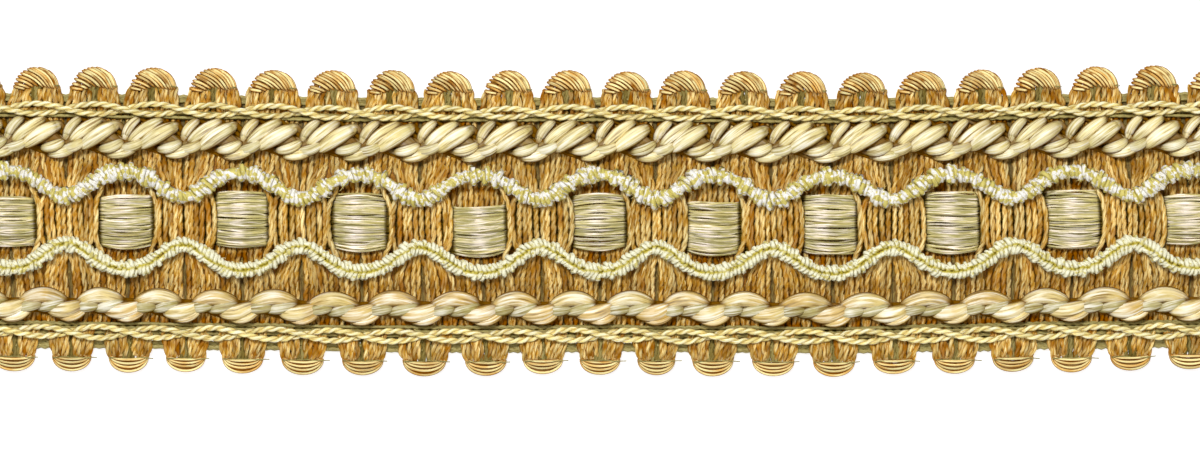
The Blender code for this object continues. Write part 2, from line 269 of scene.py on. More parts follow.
class BraidSizes(bpy.types.PropertyGroup):
    """Sizes of the yarns and cords."""

    weft_ply: length("Weft ply", "Radius of a weft yarn's ply", 0.225 * MM)
    weft_lay: length("Weft lay", "From a weft yarn's middle to a ply's middle", 0.10 * MM)
    weft_pitch: length("Weft pitch", "Length of one turn of a weft yarn", 2.3 * MM)
    filler_strands: IntProperty(
        name="Filler strands", description="Strands of satin side by side", default=38, min=4
    )
    wrap_pitch: length("Wrap pitch", "Length of one turn of the wrapping", 0.9 * MM)
    edge_ply: length("Edge cord ply", "Radius of an edge cord's ply", 0.205 * MM)
    edge_lay: length("Edge cord lay", "From an edge cord's middle to a ply's", 0.145 * MM)
    edge_pitch: length("Edge cord pitch", "Length of one turn of an edge cord", 2.3 * MM)


class BraidColours(bpy.types.PropertyGroup):
    """Colours of the yarns and cords."""

    # The shade colours (gold_dark, cream_dark, sage_dark, olive_dark, wrap_shade) are painted shade in
    # grooves, gaps and shaded places, and also dark filaments.
    # The sheen colours (gold_light, loop_light, cream_light, sage_light, thread_light) are painted
    # highlights, and also bright filaments.
    gold_dark: colour("Gold shade", "Grooves of the gold yarn", (150, 90, 0))
    gold: colour("Gold", "Body of the gold yarn", (204, 156, 48))
    gold_light: colour("Gold sheen", "Bright filaments of the gold yarn", (255, 236, 170))
    loop_gold: colour("Loop gold", "Body of the loops' yarn", (230, 160, 36))
    loop_light: colour("Loop sheen", "Bright filaments of the loops", (255, 245, 178))
    cream_dark: colour("Cream shade", "Grooves of the cream ropes", (124, 84, 8))
    cream: colour("Cream", "Body of the cream ropes", (232, 214, 138))
    cream_light: colour("Cream sheen", "Bright filaments of the ropes", (255, 250, 230))
    cream_gold: colour("Golden cream", "Golden stretches of the lower rope", (210, 172, 78))
    rope_sage: colour("Rope sage", "Sage plies of the lower rope", (182, 168, 86))
    sage_dark: colour("Sage shade", "Grooves of the satin filler", (112, 90, 18))
    sage: colour("Sage", "Body of the satin filler", (184, 174, 108))
    sage_light: colour("Sage sheen", "Bright filaments of the filler", (255, 242, 226))
    thread: colour("Pale thread", "Body of the edge cords", (248, 230, 142))
    thread_light: colour("Pale thread sheen", "Bright filaments of the edge cords", (255, 253, 222))
    wrap_white: colour("Wrap white", "White stretches of the wrapped cords", (252, 250, 243))
    wrap_yellow: colour("Wrap yellow", "Yellow stretches of the wrapped cords", (214, 198, 76))
    wrap_shade: colour("Wrap shade", "Between the wraps of the wrapped cords", (140, 120, 30))
    olive: colour("Olive", "Warp and backing seen in slits and eyes", (162, 146, 78))
    olive_dark: colour("Olive shade", "Deep parts of the warp", (92, 72, 16))
    binding: colour("Binding thread", "The fine thread through the loops", (118, 116, 66))


def column(name, u):
    """A column of SECTIONS read at u, eased from one row to the next, in metres."""
    values = np.array([getattr(row, name) for row in SECTIONS]) * MM
    row = np.clip(u / REPEAT + (REPEATS - 1) / 2, 0.0, REPEATS - 1.0)
    first = np.minimum(row.astype(int), REPEATS - 2)
    share = smooth(row - first)
    return values[first] + (values[first + 1] - values[first]) * share


def smooth(value):
    """An eased step from 0 to 1."""
    value = np.clip(value, 0.0, 1.0)
    return value * value * (3 - 2 * value)


def from_square(u):
    """How far u lies from the middle of the nearest satin square."""
    return u - np.round(u / REPEAT) * REPEAT


def from_slit(u):
    """How far u lies from the nearest slit between two groups."""
    return u - np.round(u / GROUP) * GROUP


def ashore(v):
    """0 in the channel where the weft dips under the filler, and 1 beyond its sides."""
    return smooth((np.abs(v) - CHANNEL_SHORE) / CHANNEL_SLOPE)


def place(u, v, z):
    """The real places of lattice points, with the drift of the weave."""
    u, v, z = np.broadcast_arrays(
        np.asarray(u, float), np.asarray(v, float), np.asarray(z, float)
    )
    middle = column("shift_mid", u)
    edge = np.where(v >= 0, column("shift_top", u), column("shift_bottom", u))
    share = np.where(v >= 0, v / GROUND_TOP_EDGE, v / GROUND_BOTTOM_EDGE)
    shift = middle + (edge - middle) * np.minimum(share, 1.0)
    shift = shift * np.clip((HALF_LENGTH - np.abs(u)) / GROUP, 0.0, 1.0)
    return np.stack([u + shift, v + column("drift", u), z], axis=-1)


def ground_height(u, v):
    """The top of the weft ground, with its pillowed groups."""
    across = [row.across * MM for row in LEVELS]
    height = np.interp(v, across, [row.height * MM for row in LEVELS])
    bar_slit = np.interp(v, across, [row.bar_slit for row in LEVELS])
    in_bar = np.abs(from_square(u)) > GROUP / 2
    depth = SLIT_DEPTH * np.where(in_bar, bar_slit, 1.0)
    return height - depth * np.clip(1 - np.abs(from_slit(u)) / SLIT_REACH, 0, 1) ** SLIT_STEEPNESS


def waver(rng, count, knots):
    """A smooth random run of count values between -1 and 1."""
    marks = rng.uniform(-1, 1, knots + 1)
    at = np.linspace(0, knots, count)
    first = np.minimum(at.astype(int), knots - 1)
    share = smooth(at - first)
    return marks[first] + (marks[first + 1] - marks[first]) * share


# A strand's last value is painted light: above 0 it mixes in a painted highlight, below 0 painted
# shade.
Strand = namedtuple("Strand", "path turn size tone glow")


def strand(path, pitch=30 * MM, phase=0.0, size=1.0, tone=0.5, glow=0.0):
    """A strand along a path, with its twist worked out from the length of a turn."""
    steps = np.linalg.norm(np.diff(path, axis=0), axis=1)
    rate = np.broadcast_to(1.0 / np.asarray(pitch, float), len(path))
    turn = np.concatenate([[0.0], np.cumsum(steps * (rate[:-1] + rate[1:]) / 2)])
    return Strand(path, turn + phase, size, tone, glow)


def mark(mesh, label, values):
    """Stores a value at each of a mesh's points."""
    marks = mesh.attributes.new(label, "FLOAT", "POINT")
    marks.data.foreach_set("value", values.astype(np.float32))


def strand_mesh(name, strands):
    """Chains of edges, one for each strand, that carry its twist, size, tone and painted light."""
    counts = [len(item.path) for item in strands]
    starts = np.concatenate([[0], np.cumsum(counts)[:-1]])
    edges = np.concatenate([np.arange(count - 1) + start for count, start in zip(counts, starts)])
    points = np.concatenate([item.path for item in strands])
    mesh = bpy.data.meshes.new(name)
    mesh.vertices.add(len(points))
    mesh.vertices.foreach_set("co", points.astype(np.float32).ravel())
    mesh.edges.add(len(edges))
    mesh.edges.foreach_set("vertices", np.stack([edges, edges + 1], axis=1).ravel())
    for label in ("turn", "size", "tone", "glow"):
        runs = [np.broadcast_to(getattr(item, label), len(item.path)) for item in strands]
        mark(mesh, label, np.concatenate(runs))
    mesh.update()
    return mesh


def add(tree, kind, inputs=None, **settings):
    """A node with its settings, and inputs that are linked to a socket or set to a value."""
    node = tree.nodes.new(kind)
    for key, value in settings.items():
        setattr(node, key, value)
    for key, value in (inputs or {}).items():
        if isinstance(value, bpy.types.NodeSocket):
            tree.links.new(value, node.inputs[key])
        else:
            node.inputs[key].default_value = value
    return node


def made(tree, kind, inputs=None, **settings):
    """The first result of a new node."""
    return add(tree, kind, inputs, **settings).outputs[0]


def calc(tree, operation, *values):
    """A Math node's result."""
    return made(tree, "ShaderNodeMath", dict(enumerate(values)), operation=operation)


def vector_calc(tree, operation, *values, result="Vector"):
    """A Vector Math node's vector, or its single value."""
    node = add(tree, "ShaderNodeVectorMath", dict(enumerate(values)), operation=operation)
    return node.outputs[result]


def scaled(tree, vector, factor):
    """A vector times a factor."""
    return made(tree, "ShaderNodeVectorMath", {0: vector, "Scale": factor}, operation="SCALE")


def combined(tree, x, y, z):
    """A vector from its three parts."""
    return made(tree, "ShaderNodeCombineXYZ", {0: x, 1: y, 2: z})


def parts_of(tree, vector):
    """The three parts of a vector."""
    return add(tree, "ShaderNodeSeparateXYZ", {0: vector}).outputs


def remapped(tree, value, low, high, start=0.0, end=1.0):
    """A value carried from low..high to start..end, and kept inside."""
    inputs = {"Value": value, 1: low, 2: high, 3: start, 4: end}
    return made(tree, "ShaderNodeMapRange", inputs, clamp=True)


def mixed(tree, factor, first, second, blend="MIX"):
    """Two colours mixed."""
    inputs = {0: factor, 6: first, 7: second}
    return add(tree, "ShaderNodeMix", inputs, data_type="RGBA", blend_type=blend).outputs[2]


def noise(tree, vector, scale=1.0, detail=2.0, offset=0.0):
    """A noise value, shifted for each strand by an offset."""
    inputs = {"Vector": vector, "W": offset, "Scale": scale, "Detail": detail}
    return made(tree, "ShaderNodeTexNoise", inputs, noise_dimensions="4D")


def stored(tree, geometry, label, value, kind="FLOAT"):
    """Geometry with a value stored at its points."""
    inputs = {"Geometry": geometry, "Name": label, "Value": value}
    return made(tree, "GeometryNodeStoreNamedAttribute", inputs, data_type=kind, domain="POINT")


def read(tree, label, kind="FLOAT"):
    """A value stored at the points of the geometry."""
    return made(tree, "GeometryNodeInputNamedAttribute", {"Name": label}, data_type=kind)


def attribute(tree, label, result="Fac"):
    """A value stored at the points of the geometry, in a material."""
    return add(tree, "ShaderNodeAttribute", attribute_name=label).outputs[result]


def open_tree(name, kind, sockets, results):
    """A node tree with named inputs and outputs, and the sockets of its two end nodes."""
    tree = bpy.data.node_groups.new(name, kind)
    for side, labels in (("INPUT", sockets), ("OUTPUT", results)):
        for label, socket in labels.items():
            tree.interface.new_socket(name=label, in_out=side, socket_type="NodeSocket" + socket)
    start, end = tree.nodes.new("NodeGroupInput"), tree.nodes.new("NodeGroupOutput")
    return tree, start.outputs, end.inputs


def close_geometry(tree, geometry, material, out):
    """Ends a tree: smooth faces, real geometry and the finish."""
    smooth_faces = made(tree, "GeometryNodeSetShadeSmooth", {"Geometry": geometry})
    real = made(tree, "GeometryNodeRealizeInstances", {"Geometry": smooth_faces})
    finish = made(tree, "GeometryNodeSetMaterial", {"Geometry": real, "Material": material})
    tree.links.new(finish, out)


def twisted_strands_tree():
    """Twists plies round each path and sweeps each ply as a closed tube.

    The tubes carry "fibre", the way that the filaments lie, and "relief", how far a
    point stands out of its strand, how high, and how far to the side.
    """
    sockets = {
        "Geometry": "Geometry", "Plies": "Int", "Ply Radius": "Float", "Lay Radius": "Float",
        "Sides": "Int", "Flatness": "Float", "Ridges": "Float", "Material": "Material",
    }
    tree, given, out = open_tree(
        "twisted_strands", "GeometryNodeTree", sockets, {"Geometry": "Geometry"}
    )
    paths = made(tree, "GeometryNodeMeshToCurve", {0: given["Geometry"]})
    upright = made(tree, "GeometryNodeSetCurveNormal", {0: paths}, mode="Z_UP")
    copies = add(
        tree, "GeometryNodeDuplicateElements", {0: upright, "Amount": given["Plies"]}, domain="SPLINE"
    ).outputs
    share = calc(tree, "DIVIDE", copies["Duplicate Index"], given["Plies"])
    angle = calc(tree, "MULTIPLY", calc(tree, "ADD", read(tree, "turn"), share), TURN)
    normal = made(tree, "GeometryNodeInputNormal")
    tangent = made(tree, "GeometryNodeInputTangent")
    position = made(tree, "GeometryNodeInputPosition")
    spline = add(tree, "GeometryNodeSplineParameter").outputs
    binormal = vector_calc(tree, "CROSS_PRODUCT", tangent, normal)
    sideways = scaled(tree, normal, calc(tree, "COSINE", angle))
    upward = scaled(tree, binormal, calc(tree, "SINE", angle))
    reach = calc(tree, "MULTIPLY", given["Lay Radius"], read(tree, "size"))
    offset = scaled(tree, vector_calc(tree, "ADD", sideways, upward), reach)
    lines = stored(tree, copies[0], "heart", position, "FLOAT_VECTOR")
    lines = stored(tree, lines, "wing", normal, "FLOAT_VECTOR")
    lines = stored(tree, lines, "ply", share)
    lines = made(tree, "GeometryNodeSetPosition", {0: lines, "Offset": offset})
    lines = stored(tree, lines, "along", spline["Length"])

    ring = {"Resolution": given["Sides"], "Radius": given["Ply Radius"]}
    circle = made(tree, "GeometryNodeCurvePrimitiveCircle", ring)
    circle = stored(tree, circle, "around", spline["Factor"])
    odd = calc(tree, "MODULO", made(tree, "GeometryNodeInputIndex"), 2.0)
    groove = calc(tree, "MULTIPLY", odd, given["Ridges"])
    inward = scaled(tree, position, calc(tree, "MULTIPLY", groove, -1.0))
    circle = made(tree, "GeometryNodeSetPosition", {0: circle, "Offset": inward})
    oval = combined(tree, 1.0, given["Flatness"], 1.0)
    circle = made(tree, "GeometryNodeTransform", {0: circle, "Scale": oval})
    sweep = {
        "Curve": lines, "Profile Curve": circle, "Scale": read(tree, "size"), "Fill Caps": True
    }
    tubes = made(tree, "GeometryNodeCurveToMesh", sweep)

    angle = calc(tree, "MULTIPLY", read(tree, "around"), TURN)
    fibre = combined(tree, calc(tree, "COSINE", angle), calc(tree, "SINE", angle), read(tree, "along"))
    tubes = stored(tree, tubes, "fibre", fibre, "FLOAT_VECTOR")
    full = calc(tree, "ADD", given["Ply Radius"], given["Lay Radius"])
    full = calc(tree, "MULTIPLY", full, read(tree, "size"))
    away = vector_calc(tree, "SUBTRACT", position, read(tree, "heart", "FLOAT_VECTOR"))
    proud = calc(tree, "DIVIDE", vector_calc(tree, "LENGTH", away, result="Value"), full)
    lift = calc(tree, "DIVIDE", parts_of(tree, away)[2], full)
    wing = read(tree, "wing", "FLOAT_VECTOR")
    aside = vector_calc(tree, "DOT_PRODUCT", away, wing, result="Value")
    relief = combined(tree, proud, lift, calc(tree, "DIVIDE", aside, full))
    tubes = stored(tree, tubes, "relief", relief, "FLOAT_VECTOR")
    for label in ("heart", "wing", "along", "around", "turn", "size"):
        tubes = made(tree, "GeometryNodeRemoveAttribute", {0: tubes, "Name": label})
    close_geometry(tree, tubes, given["Material"], out["Geometry"])
    return tree


def fuzz_tree():
    """Scatters short fine hairs over a piece."""
    sockets = {
        "Geometry": "Geometry", "Density": "Float", "Hair Length": "Float",
        "Hair Radius": "Float", "Seed": "Int", "Material": "Material",
    }
    tree, given, out = open_tree("fuzz", "GeometryNodeTree", sockets, {"Geometry": "Geometry"})
    inputs = {"Mesh": given["Geometry"], "Density": given["Density"], "Seed": given["Seed"]}
    roots = add(tree, "GeometryNodeDistributePointsOnFaces", inputs).outputs
    line = made(tree, "GeometryNodeCurvePrimitiveLine", {"End": (0.0, 0.0, 1.0)})
    line = made(tree, "GeometryNodeResampleCurve", {0: line, "Count": HAIR_POINTS})
    factor = add(tree, "GeometryNodeSplineParameter").outputs["Factor"]
    bend = combined(tree, calc(tree, "MULTIPLY", calc(tree, "POWER", factor, 2.0), HAIR_BEND), 0.0, 0.0)
    line = made(tree, "GeometryNodeSetPosition", {0: line, "Offset": bend})
    thin = calc(tree, "DIVIDE", given["Hair Radius"], given["Hair Length"])
    ring = made(tree, "GeometryNodeCurvePrimitiveCircle", {"Resolution": 3, "Radius": thin})
    sweep = {"Curve": line, "Profile Curve": ring, "Fill Caps": True}
    hair = made(tree, "GeometryNodeCurveToMesh", sweep)
    tilts = {"Min": (-0.9, -0.9, -3.1), "Max": (0.9, 0.9, 3.1), "Seed": given["Seed"]}
    tilt = made(tree, "FunctionNodeRandomValue", tilts, data_type="FLOAT_VECTOR")
    turns = {0: roots["Rotation"], 1: tilt}
    turned = made(tree, "FunctionNodeRotateRotation", turns, rotation_space="LOCAL")
    lengths = {"Min": 0.5, "Max": 1.3, "Seed": 5}
    longer = add(tree, "FunctionNodeRandomValue", lengths, data_type="FLOAT").outputs[1]
    reach = calc(tree, "MULTIPLY", longer, given["Hair Length"])
    hairs = made(
        tree, "GeometryNodeInstanceOnPoints",
        {"Points": roots[0], "Instance": hair, "Rotation": turned, "Scale": reach},
    )
    close_geometry(tree, hairs, given["Material"], out["Geometry"])
    return tree


def kept(store, name, build):
    """A node tree or a material that is built once and then used again."""
    return store.get(name) or build()


def new_object(name, data):
    """An object in the scene."""
    item = bpy.data.objects.new(name, data)
    bpy.context.scene.collection.objects.link(item)
    return item


def evaluated_piece(name, mesh, tree, values):
    """Runs a node tree on a mesh and keeps its result as a plain mesh piece."""
    piece = new_object(name, mesh)
    modifier = piece.modifiers.new(tree.name, "NODES")
    modifier.node_group = tree
    for item in tree.interface.items_tree:
        if item.in_out == "INPUT" and item.name in values:
            modifier[item.identifier] = values[item.name]
    bpy.context.view_layer.update()
    depsgraph = bpy.context.evaluated_depsgraph_get()
    result = bpy.data.meshes.new_from_object(piece.evaluated_get(depsgraph))
    piece.modifiers.clear()
    piece.data = result
    result.name = name
    if not result.polygons:
        raise RuntimeError(f"{name} came out empty")
    return piece


def seat(piece, slot, *nodes):
    """Joins a finished piece to the braid's body, and hides the solids that it stands for."""
    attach(piece, "root")
    if nodes:
        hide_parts(*nodes)


def lay_strands(
    name, strands, finish, slot, *nodes, ply, plies=1, lay=0.0, sides=6, flatness=1.0, ridges=0.0
):
    """Makes a piece of twisted strands from its paths, and seats it."""
    values = {
        "Plies": plies, "Ply Radius": ply, "Lay Radius": lay, "Sides": sides,
        "Flatness": flatness, "Ridges": ridges, "Material": finish,
    }
    tree = kept(bpy.data.node_groups, "twisted_strands", twisted_strands_tree)
    seat(evaluated_piece(name, strand_mesh(name + "_paths", strands), tree, values), slot, *nodes)


# The grain, the strength of the painted shade in grooves and of the painted highlights on crests, and
# the surface of a yarn whose row in YARNS says nothing else.
YARN_GRAIN_AND_PAINTED_LIGHT = dict(
    other_share=0.0, filaments=2.2, streak=1.6 * MM, grain=0.55, groove=0.8, crest=0.80,
    trough=0.50, crown=0.5, flank=0.40, spread=0.3, roughness=0.4,
)
YARN_SURFACE = dict(bump=0.06 * MM, specular=0.6)
ROPE_LOOK = dict(
    shade="cream_dark", sheen="cream_light", filaments=3.4, streak=2.4 * MM, grain=1.0,
    groove=1.0, flank=0.58, spread=0.4, roughness=0.36, bump=0.09 * MM, specular=0.3,
)

# The yarns: the ground's, the loops' bends and legs, the two ropes', the edge cords', the warps', the
# binding threads', the filler's and the fuzz's. Colours go by their names in BraidColours; each yarn's
# shade colour is painted into its grooves and shaded places, and its sheen colour into its highlights.
YARNS = {
    "gold_rayon": dict(
        shade="gold_dark", body="gold", sheen="gold_light", filaments=1.6, streak=1.1 * MM,
        grain=0.8, groove=0.6, crown=0.6, flank=0.26, spread=0.4, roughness=0.45, specular=0.3,
    ),
    "bright_gold_rayon": dict(
        shade="gold_dark", body="loop_gold", sheen="loop_light", filaments=1.4, grain=0.8,
        groove=1.0, crown=0.9, flank=0.92, spread=0.35, roughness=0.45, specular=0.1,
    ),
    "nested_gold_rayon": dict(
        shade="gold_dark", body="gold", sheen="gold_light", filaments=1.8, streak=0.9 * MM,
        grain=0.7, crest=0.84, spread=0.45, roughness=0.45, specular=0.3,
    ),
    "cream_rayon": dict(ROPE_LOOK, body="cream", other="sage", other_share=0.5, crown=0.35),
    "golden_cream_rayon": dict(
        ROPE_LOOK, body="cream_gold", other="cream", third="rope_sage", other_share=0.6, crown=0.30
    ),
    "pale_cotton": dict(
        shade="gold_dark", body="thread", sheen="thread_light", other="olive", other_share=0.3,
        filaments=1.5, streak=1.0 * MM, groove=0.55, trough=0.4, crown=0.8,
    ),
    "olive_warp": dict(
        shade="olive_dark", body="olive", sheen="sage", filaments=1.6, streak=1.0 * MM,
        grain=0.3, groove=0.35, crown=0.0, spread=0.2, roughness=0.6,
    ),
    "pale_binding": dict(
        shade="olive_dark", body="binding", sheen="cream", streak=0.7 * MM, grain=0.8,
        crown=0.2, spread=0.5, roughness=0.7, specular=0.1,
    ),
    "sage_filament": dict(
        shade="sage_dark", body="sage", sheen="sage_light", other="cream", other_share=0.35,
        filaments=1.0, grain=0.6, groove=0.4, crown=0.05, flank=0.55, spread=0.5,
        roughness=0.34, specular=0.4,
    ),
    "hair": dict(shade="gold", body="cream", sheen="cream_light", roughness=0.6),
}


def socket_label(name):
    """A socket's label from the name of its value."""
    return name.replace("_", " ").title()


def yarn_grain_and_painted_light_group():
    """Streaks of filaments along each ply, painted shade in the grooves between plies and in shaded
    places, and painted highlights on the crests.
    """
    sockets = dict.fromkeys(("Shade", "Body", "Other", "Third", "Sheen"), "Color")
    sockets.update({socket_label(name): "Float" for name in YARN_GRAIN_AND_PAINTED_LIGHT})
    results = {"Colour": "Color", "Shine": "Float", "Roughness": "Float", "Height": "Float"}
    tree, given, out = open_tree("yarn_grain", "ShaderNodeTree", sockets, results)
    tone, ply, glow = (attribute(tree, label) for label in ("tone", "ply", "glow"))
    fibre = parts_of(tree, attribute(tree, "fibre", "Vector"))
    run = calc(tree, "DIVIDE", fibre[2], given["Streak"])
    across = [calc(tree, "MULTIPLY", part, given["Filaments"]) for part in (fibre[0], fibre[1])]
    around = combined(tree, *across, run)
    offset = calc(tree, "ADD", calc(tree, "MULTIPLY", tone, 97.0), calc(tree, "MULTIPLY", ply, 31.0))
    fine = noise(tree, around, 1.0, 3.0, offset)
    broad = noise(tree, around, 0.3, 1.0, offset)

    stretch = noise(tree, combined(tree, 0.0, 0.0, calc(tree, "MULTIPLY", run, 0.35)), 1.0, 1.0, offset)
    patch = calc(tree, "MULTIPLY", remapped(tree, stretch, 0.46, 0.56), given["Other Share"])
    body = mixed(tree, patch, given["Body"], given["Other"])
    body = mixed(tree, remapped(tree, tone, 0.36, 0.30), body, given["Third"])
    bright = remapped(tree, fine, 0.50, 0.68)
    dim = remapped(tree, fine, 0.46, 0.30)
    lines = mixed(tree, bright, body, given["Sheen"])
    lines = mixed(tree, calc(tree, "MULTIPLY", dim, given["Grain"]), lines, given["Shade"])

    # Painted highlights: on the crest of each ply, and where a strand's painted light is above 0.
    deep = parts_of(tree, attribute(tree, "relief", "Vector"))
    crest = remapped(tree, deep[0], 0.86, 1.0)
    crest = calc(tree, "MINIMUM", crest, remapped(tree, deep[1], 0.35, 0.8))
    crest = calc(tree, "MULTIPLY", crest, remapped(tree, broad, 0.40, 0.60, 0.25, 1.0))
    lit = calc(tree, "MULTIPLY", calc(tree, "MAXIMUM", glow, 0.0), remapped(tree, fine, 0.36, 0.58))
    lit = calc(tree, "MAXIMUM", lit, calc(tree, "MULTIPLY", crest, given["Crown"]))
    lines = mixed(tree, lit, lines, given["Sheen"])

    # Painted shade: in the grooves between plies, on a strand's flanks, and where its painted light is
    # below 0.
    sunk = remapped(tree, deep[0], given["Crest"], given["Trough"])
    flank = remapped(tree, calc(tree, "ABSOLUTE", deep[1]), given["Flank"], 0.0, 0.0, 1.5)
    flank = calc(tree, "MULTIPLY", flank, remapped(tree, given["Flank"], 0.2, 0.8, 0.4, 1.0))
    sunk = calc(tree, "MAXIMUM", sunk, flank)
    groove = calc(tree, "MULTIPLY", sunk, given["Groove"])
    groove = calc(tree, "MAXIMUM", groove, calc(tree, "MULTIPLY", glow, -1.0))
    shaded = mixed(tree, groove, lines, given["Shade"])
    swing = calc(tree, "ADD", calc(tree, "SUBTRACT", tone, 0.5), calc(tree, "SUBTRACT", broad, 0.5))
    level = calc(tree, "MULTIPLY_ADD", swing, given["Spread"], 1.0)
    final = mixed(tree, 1.0, shaded, combined(tree, level, level, level), "MULTIPLY")
    tree.links.new(final, out["Colour"])
    dull = calc(tree, "MAXIMUM", calc(tree, "MULTIPLY", dim, given["Grain"]), groove)
    tree.links.new(remapped(tree, dull, 0.0, 0.7, 1.0, 0.0), out["Shine"])
    rough = calc(tree, "MULTIPLY_ADD", calc(tree, "SUBTRACT", fine, 0.5), 0.5, given["Roughness"])
    tree.links.new(rough, out["Roughness"])
    tree.links.new(fine, out["Height"])
    return tree


def new_material(name):
    """An empty node material and its shader."""
    finish = bpy.data.materials.new(name)
    finish.use_nodes = True
    tree = finish.node_tree
    return finish, tree, tree.nodes["Principled BSDF"]


def surface(tree, shader, body, roughness, height, depth):
    """Gives a shader its colour, its roughness and a bump of a depth."""
    bump = made(tree, "ShaderNodeBump", {"Height": height, "Distance": depth, "Strength": 1.0})
    for label, socket in (("Base Color", body), ("Roughness", roughness), ("Normal", bump)):
        tree.links.new(socket, shader.inputs[label])


def yarn(name):
    """A yarn's material: filament streaks, painted shade in the grooves, painted highlights and a silky
    gloss.
    """
    return kept(bpy.data.materials, name, lambda: yarn_material(name, YARNS[name]))


def yarn_material(name, row):
    """A new yarn material from its row of colours and values."""
    hues = bpy.context.scene.braid_colours
    look = {"other": row["body"], "third": row["body"], **YARN_GRAIN_AND_PAINTED_LIGHT, **YARN_SURFACE, **row}
    bump, specular = look.pop("bump"), look.pop("specular")
    finish, tree, shader = new_material(name)
    group = kept(bpy.data.node_groups, "yarn_grain", yarn_grain_and_painted_light_group)
    # This group paints the grain, the painted shade and the painted highlights.
    grain = add(tree, "ShaderNodeGroup", node_tree=group)
    for label, value in look.items():
        given = (*getattr(hues, value), 1.0) if isinstance(value, str) else value
        grain.inputs[socket_label(label)].default_value = given
    out = grain.outputs
    surface(tree, shader, out["Colour"], out["Roughness"], out["Height"], bump)
    gloss = calc(tree, "MULTIPLY", out["Shine"], specular)
    tree.links.new(gloss, shader.inputs["Specular IOR Level"])
    return finish


def wrap_material(name, chevrons):
    """Fine crosswise wrapping: white and yellow patches, or white teeth with a yellow line, with
    painted shade between the wraps.
    """
    hues = bpy.context.scene.braid_colours
    white = hues.thread_light if chevrons else hues.wrap_white
    finish, tree, shader = new_material(name)
    run = parts_of(tree, attribute(tree, "fibre", "Vector"))
    deep = parts_of(tree, attribute(tree, "relief", "Vector"))
    where = add(tree, "ShaderNodeTexCoord").outputs["Object"]
    patches = noise(tree, where, 1.0 / (0.6 * MM), 2.5, 3.0)
    if chevrons:
        turned = calc(tree, "MULTIPLY_ADD", attribute(tree, "tone"), 2.0, -1.0)
        share = remapped(tree, calc(tree, "MULTIPLY", deep[2], turned), 0.15, 0.6)
        share = calc(tree, "MAXIMUM", share, remapped(tree, patches, 0.56, 0.62, 0.0, 0.8))
    else:
        share = remapped(tree, patches, 0.47, 0.52, 0.0, 0.9)
    across = [calc(tree, "MULTIPLY", part, 3.0) for part in (run[0], run[1])]
    fine = noise(tree, combined(tree, *across, calc(tree, "DIVIDE", run[2], 0.5 * MM)), 1.0, 2.0)
    body = mixed(tree, share, (*white, 1.0), (*hues.wrap_yellow, 1.0))
    # Painted shade between the wraps, and dark filament streaks.
    sunk = remapped(tree, deep[0], 0.96, 0.66, 0.0, 0.8)
    streak = remapped(tree, fine, 0.46, 0.30, 0.0, 0.6)
    body = mixed(tree, calc(tree, "MAXIMUM", sunk, streak), body, (*hues.wrap_shade, 1.0))
    surface(tree, shader, body, remapped(tree, fine, 0.3, 0.7, 0.40, 0.65), fine, 0.08 * MM)
    return finish


def backing_material():
    """The woven backing: gold under the weft, and olive in the slits and at the edges."""
    hues = bpy.context.scene.braid_colours
    finish, tree, shader = new_material("olive_backing")
    where = add(tree, "ShaderNodeTexCoord").outputs["Object"]
    stretched = vector_calc(tree, "MULTIPLY", where, (1.0, 0.12, 1.0))
    speckle = noise(tree, stretched, 1.0 / (0.11 * MM), 2.0)
    share = remapped(tree, speckle, 0.42, 0.72)
    olive = mixed(tree, share, (*hues.olive_dark, 1.0), (*hues.olive, 1.0))
    brown = mixed(tree, share, (*hues.gold_dark, 1.0), (*hues.gold, 1.0))
    body = mixed(tree, attribute(tree, "gold"), olive, brown)
    surface(tree, shader, body, remapped(tree, speckle, 0.3, 0.7, 0.6, 0.85), speckle, 0.08 * MM)
    return finish


def shell_mesh(name, top, bottom):
    """A closed sheet between two grids of points of the same size."""
    rows, columns = top.shape[:2]
    index = np.arange(rows * columns).reshape(rows, columns)
    quads = np.stack([index[:-1, :-1], index[1:, :-1], index[1:, 1:], index[:-1, 1:]], axis=-1)
    quads = quads.reshape(-1, 4)
    rim = np.concatenate([index[0, :-1], index[:-1, -1], index[-1, :0:-1], index[:0:-1, 0]])
    after = np.roll(rim, -1)
    below = rows * columns
    sides = np.stack([rim, after, after + below, rim + below], axis=1)
    faces = np.concatenate([quads, quads[:, ::-1] + below, sides])
    points = np.concatenate([top.reshape(-1, 3), bottom.reshape(-1, 3)])
    mesh = bpy.data.meshes.new(name)
    mesh.from_pydata(points.tolist(), [], faces.tolist())
    mesh.shade_smooth()
    return mesh


BACKING_EDGES = (-12.4 * MM, 12.9 * MM)
BACKING_STEPS_PER_RIB = 2
BACKING_ROWS = 26
BACKING_TOP = 0.36 * MM
BACKING_RIB = 0.10 * MM
BACKING_SLIT = 0.75 * MM


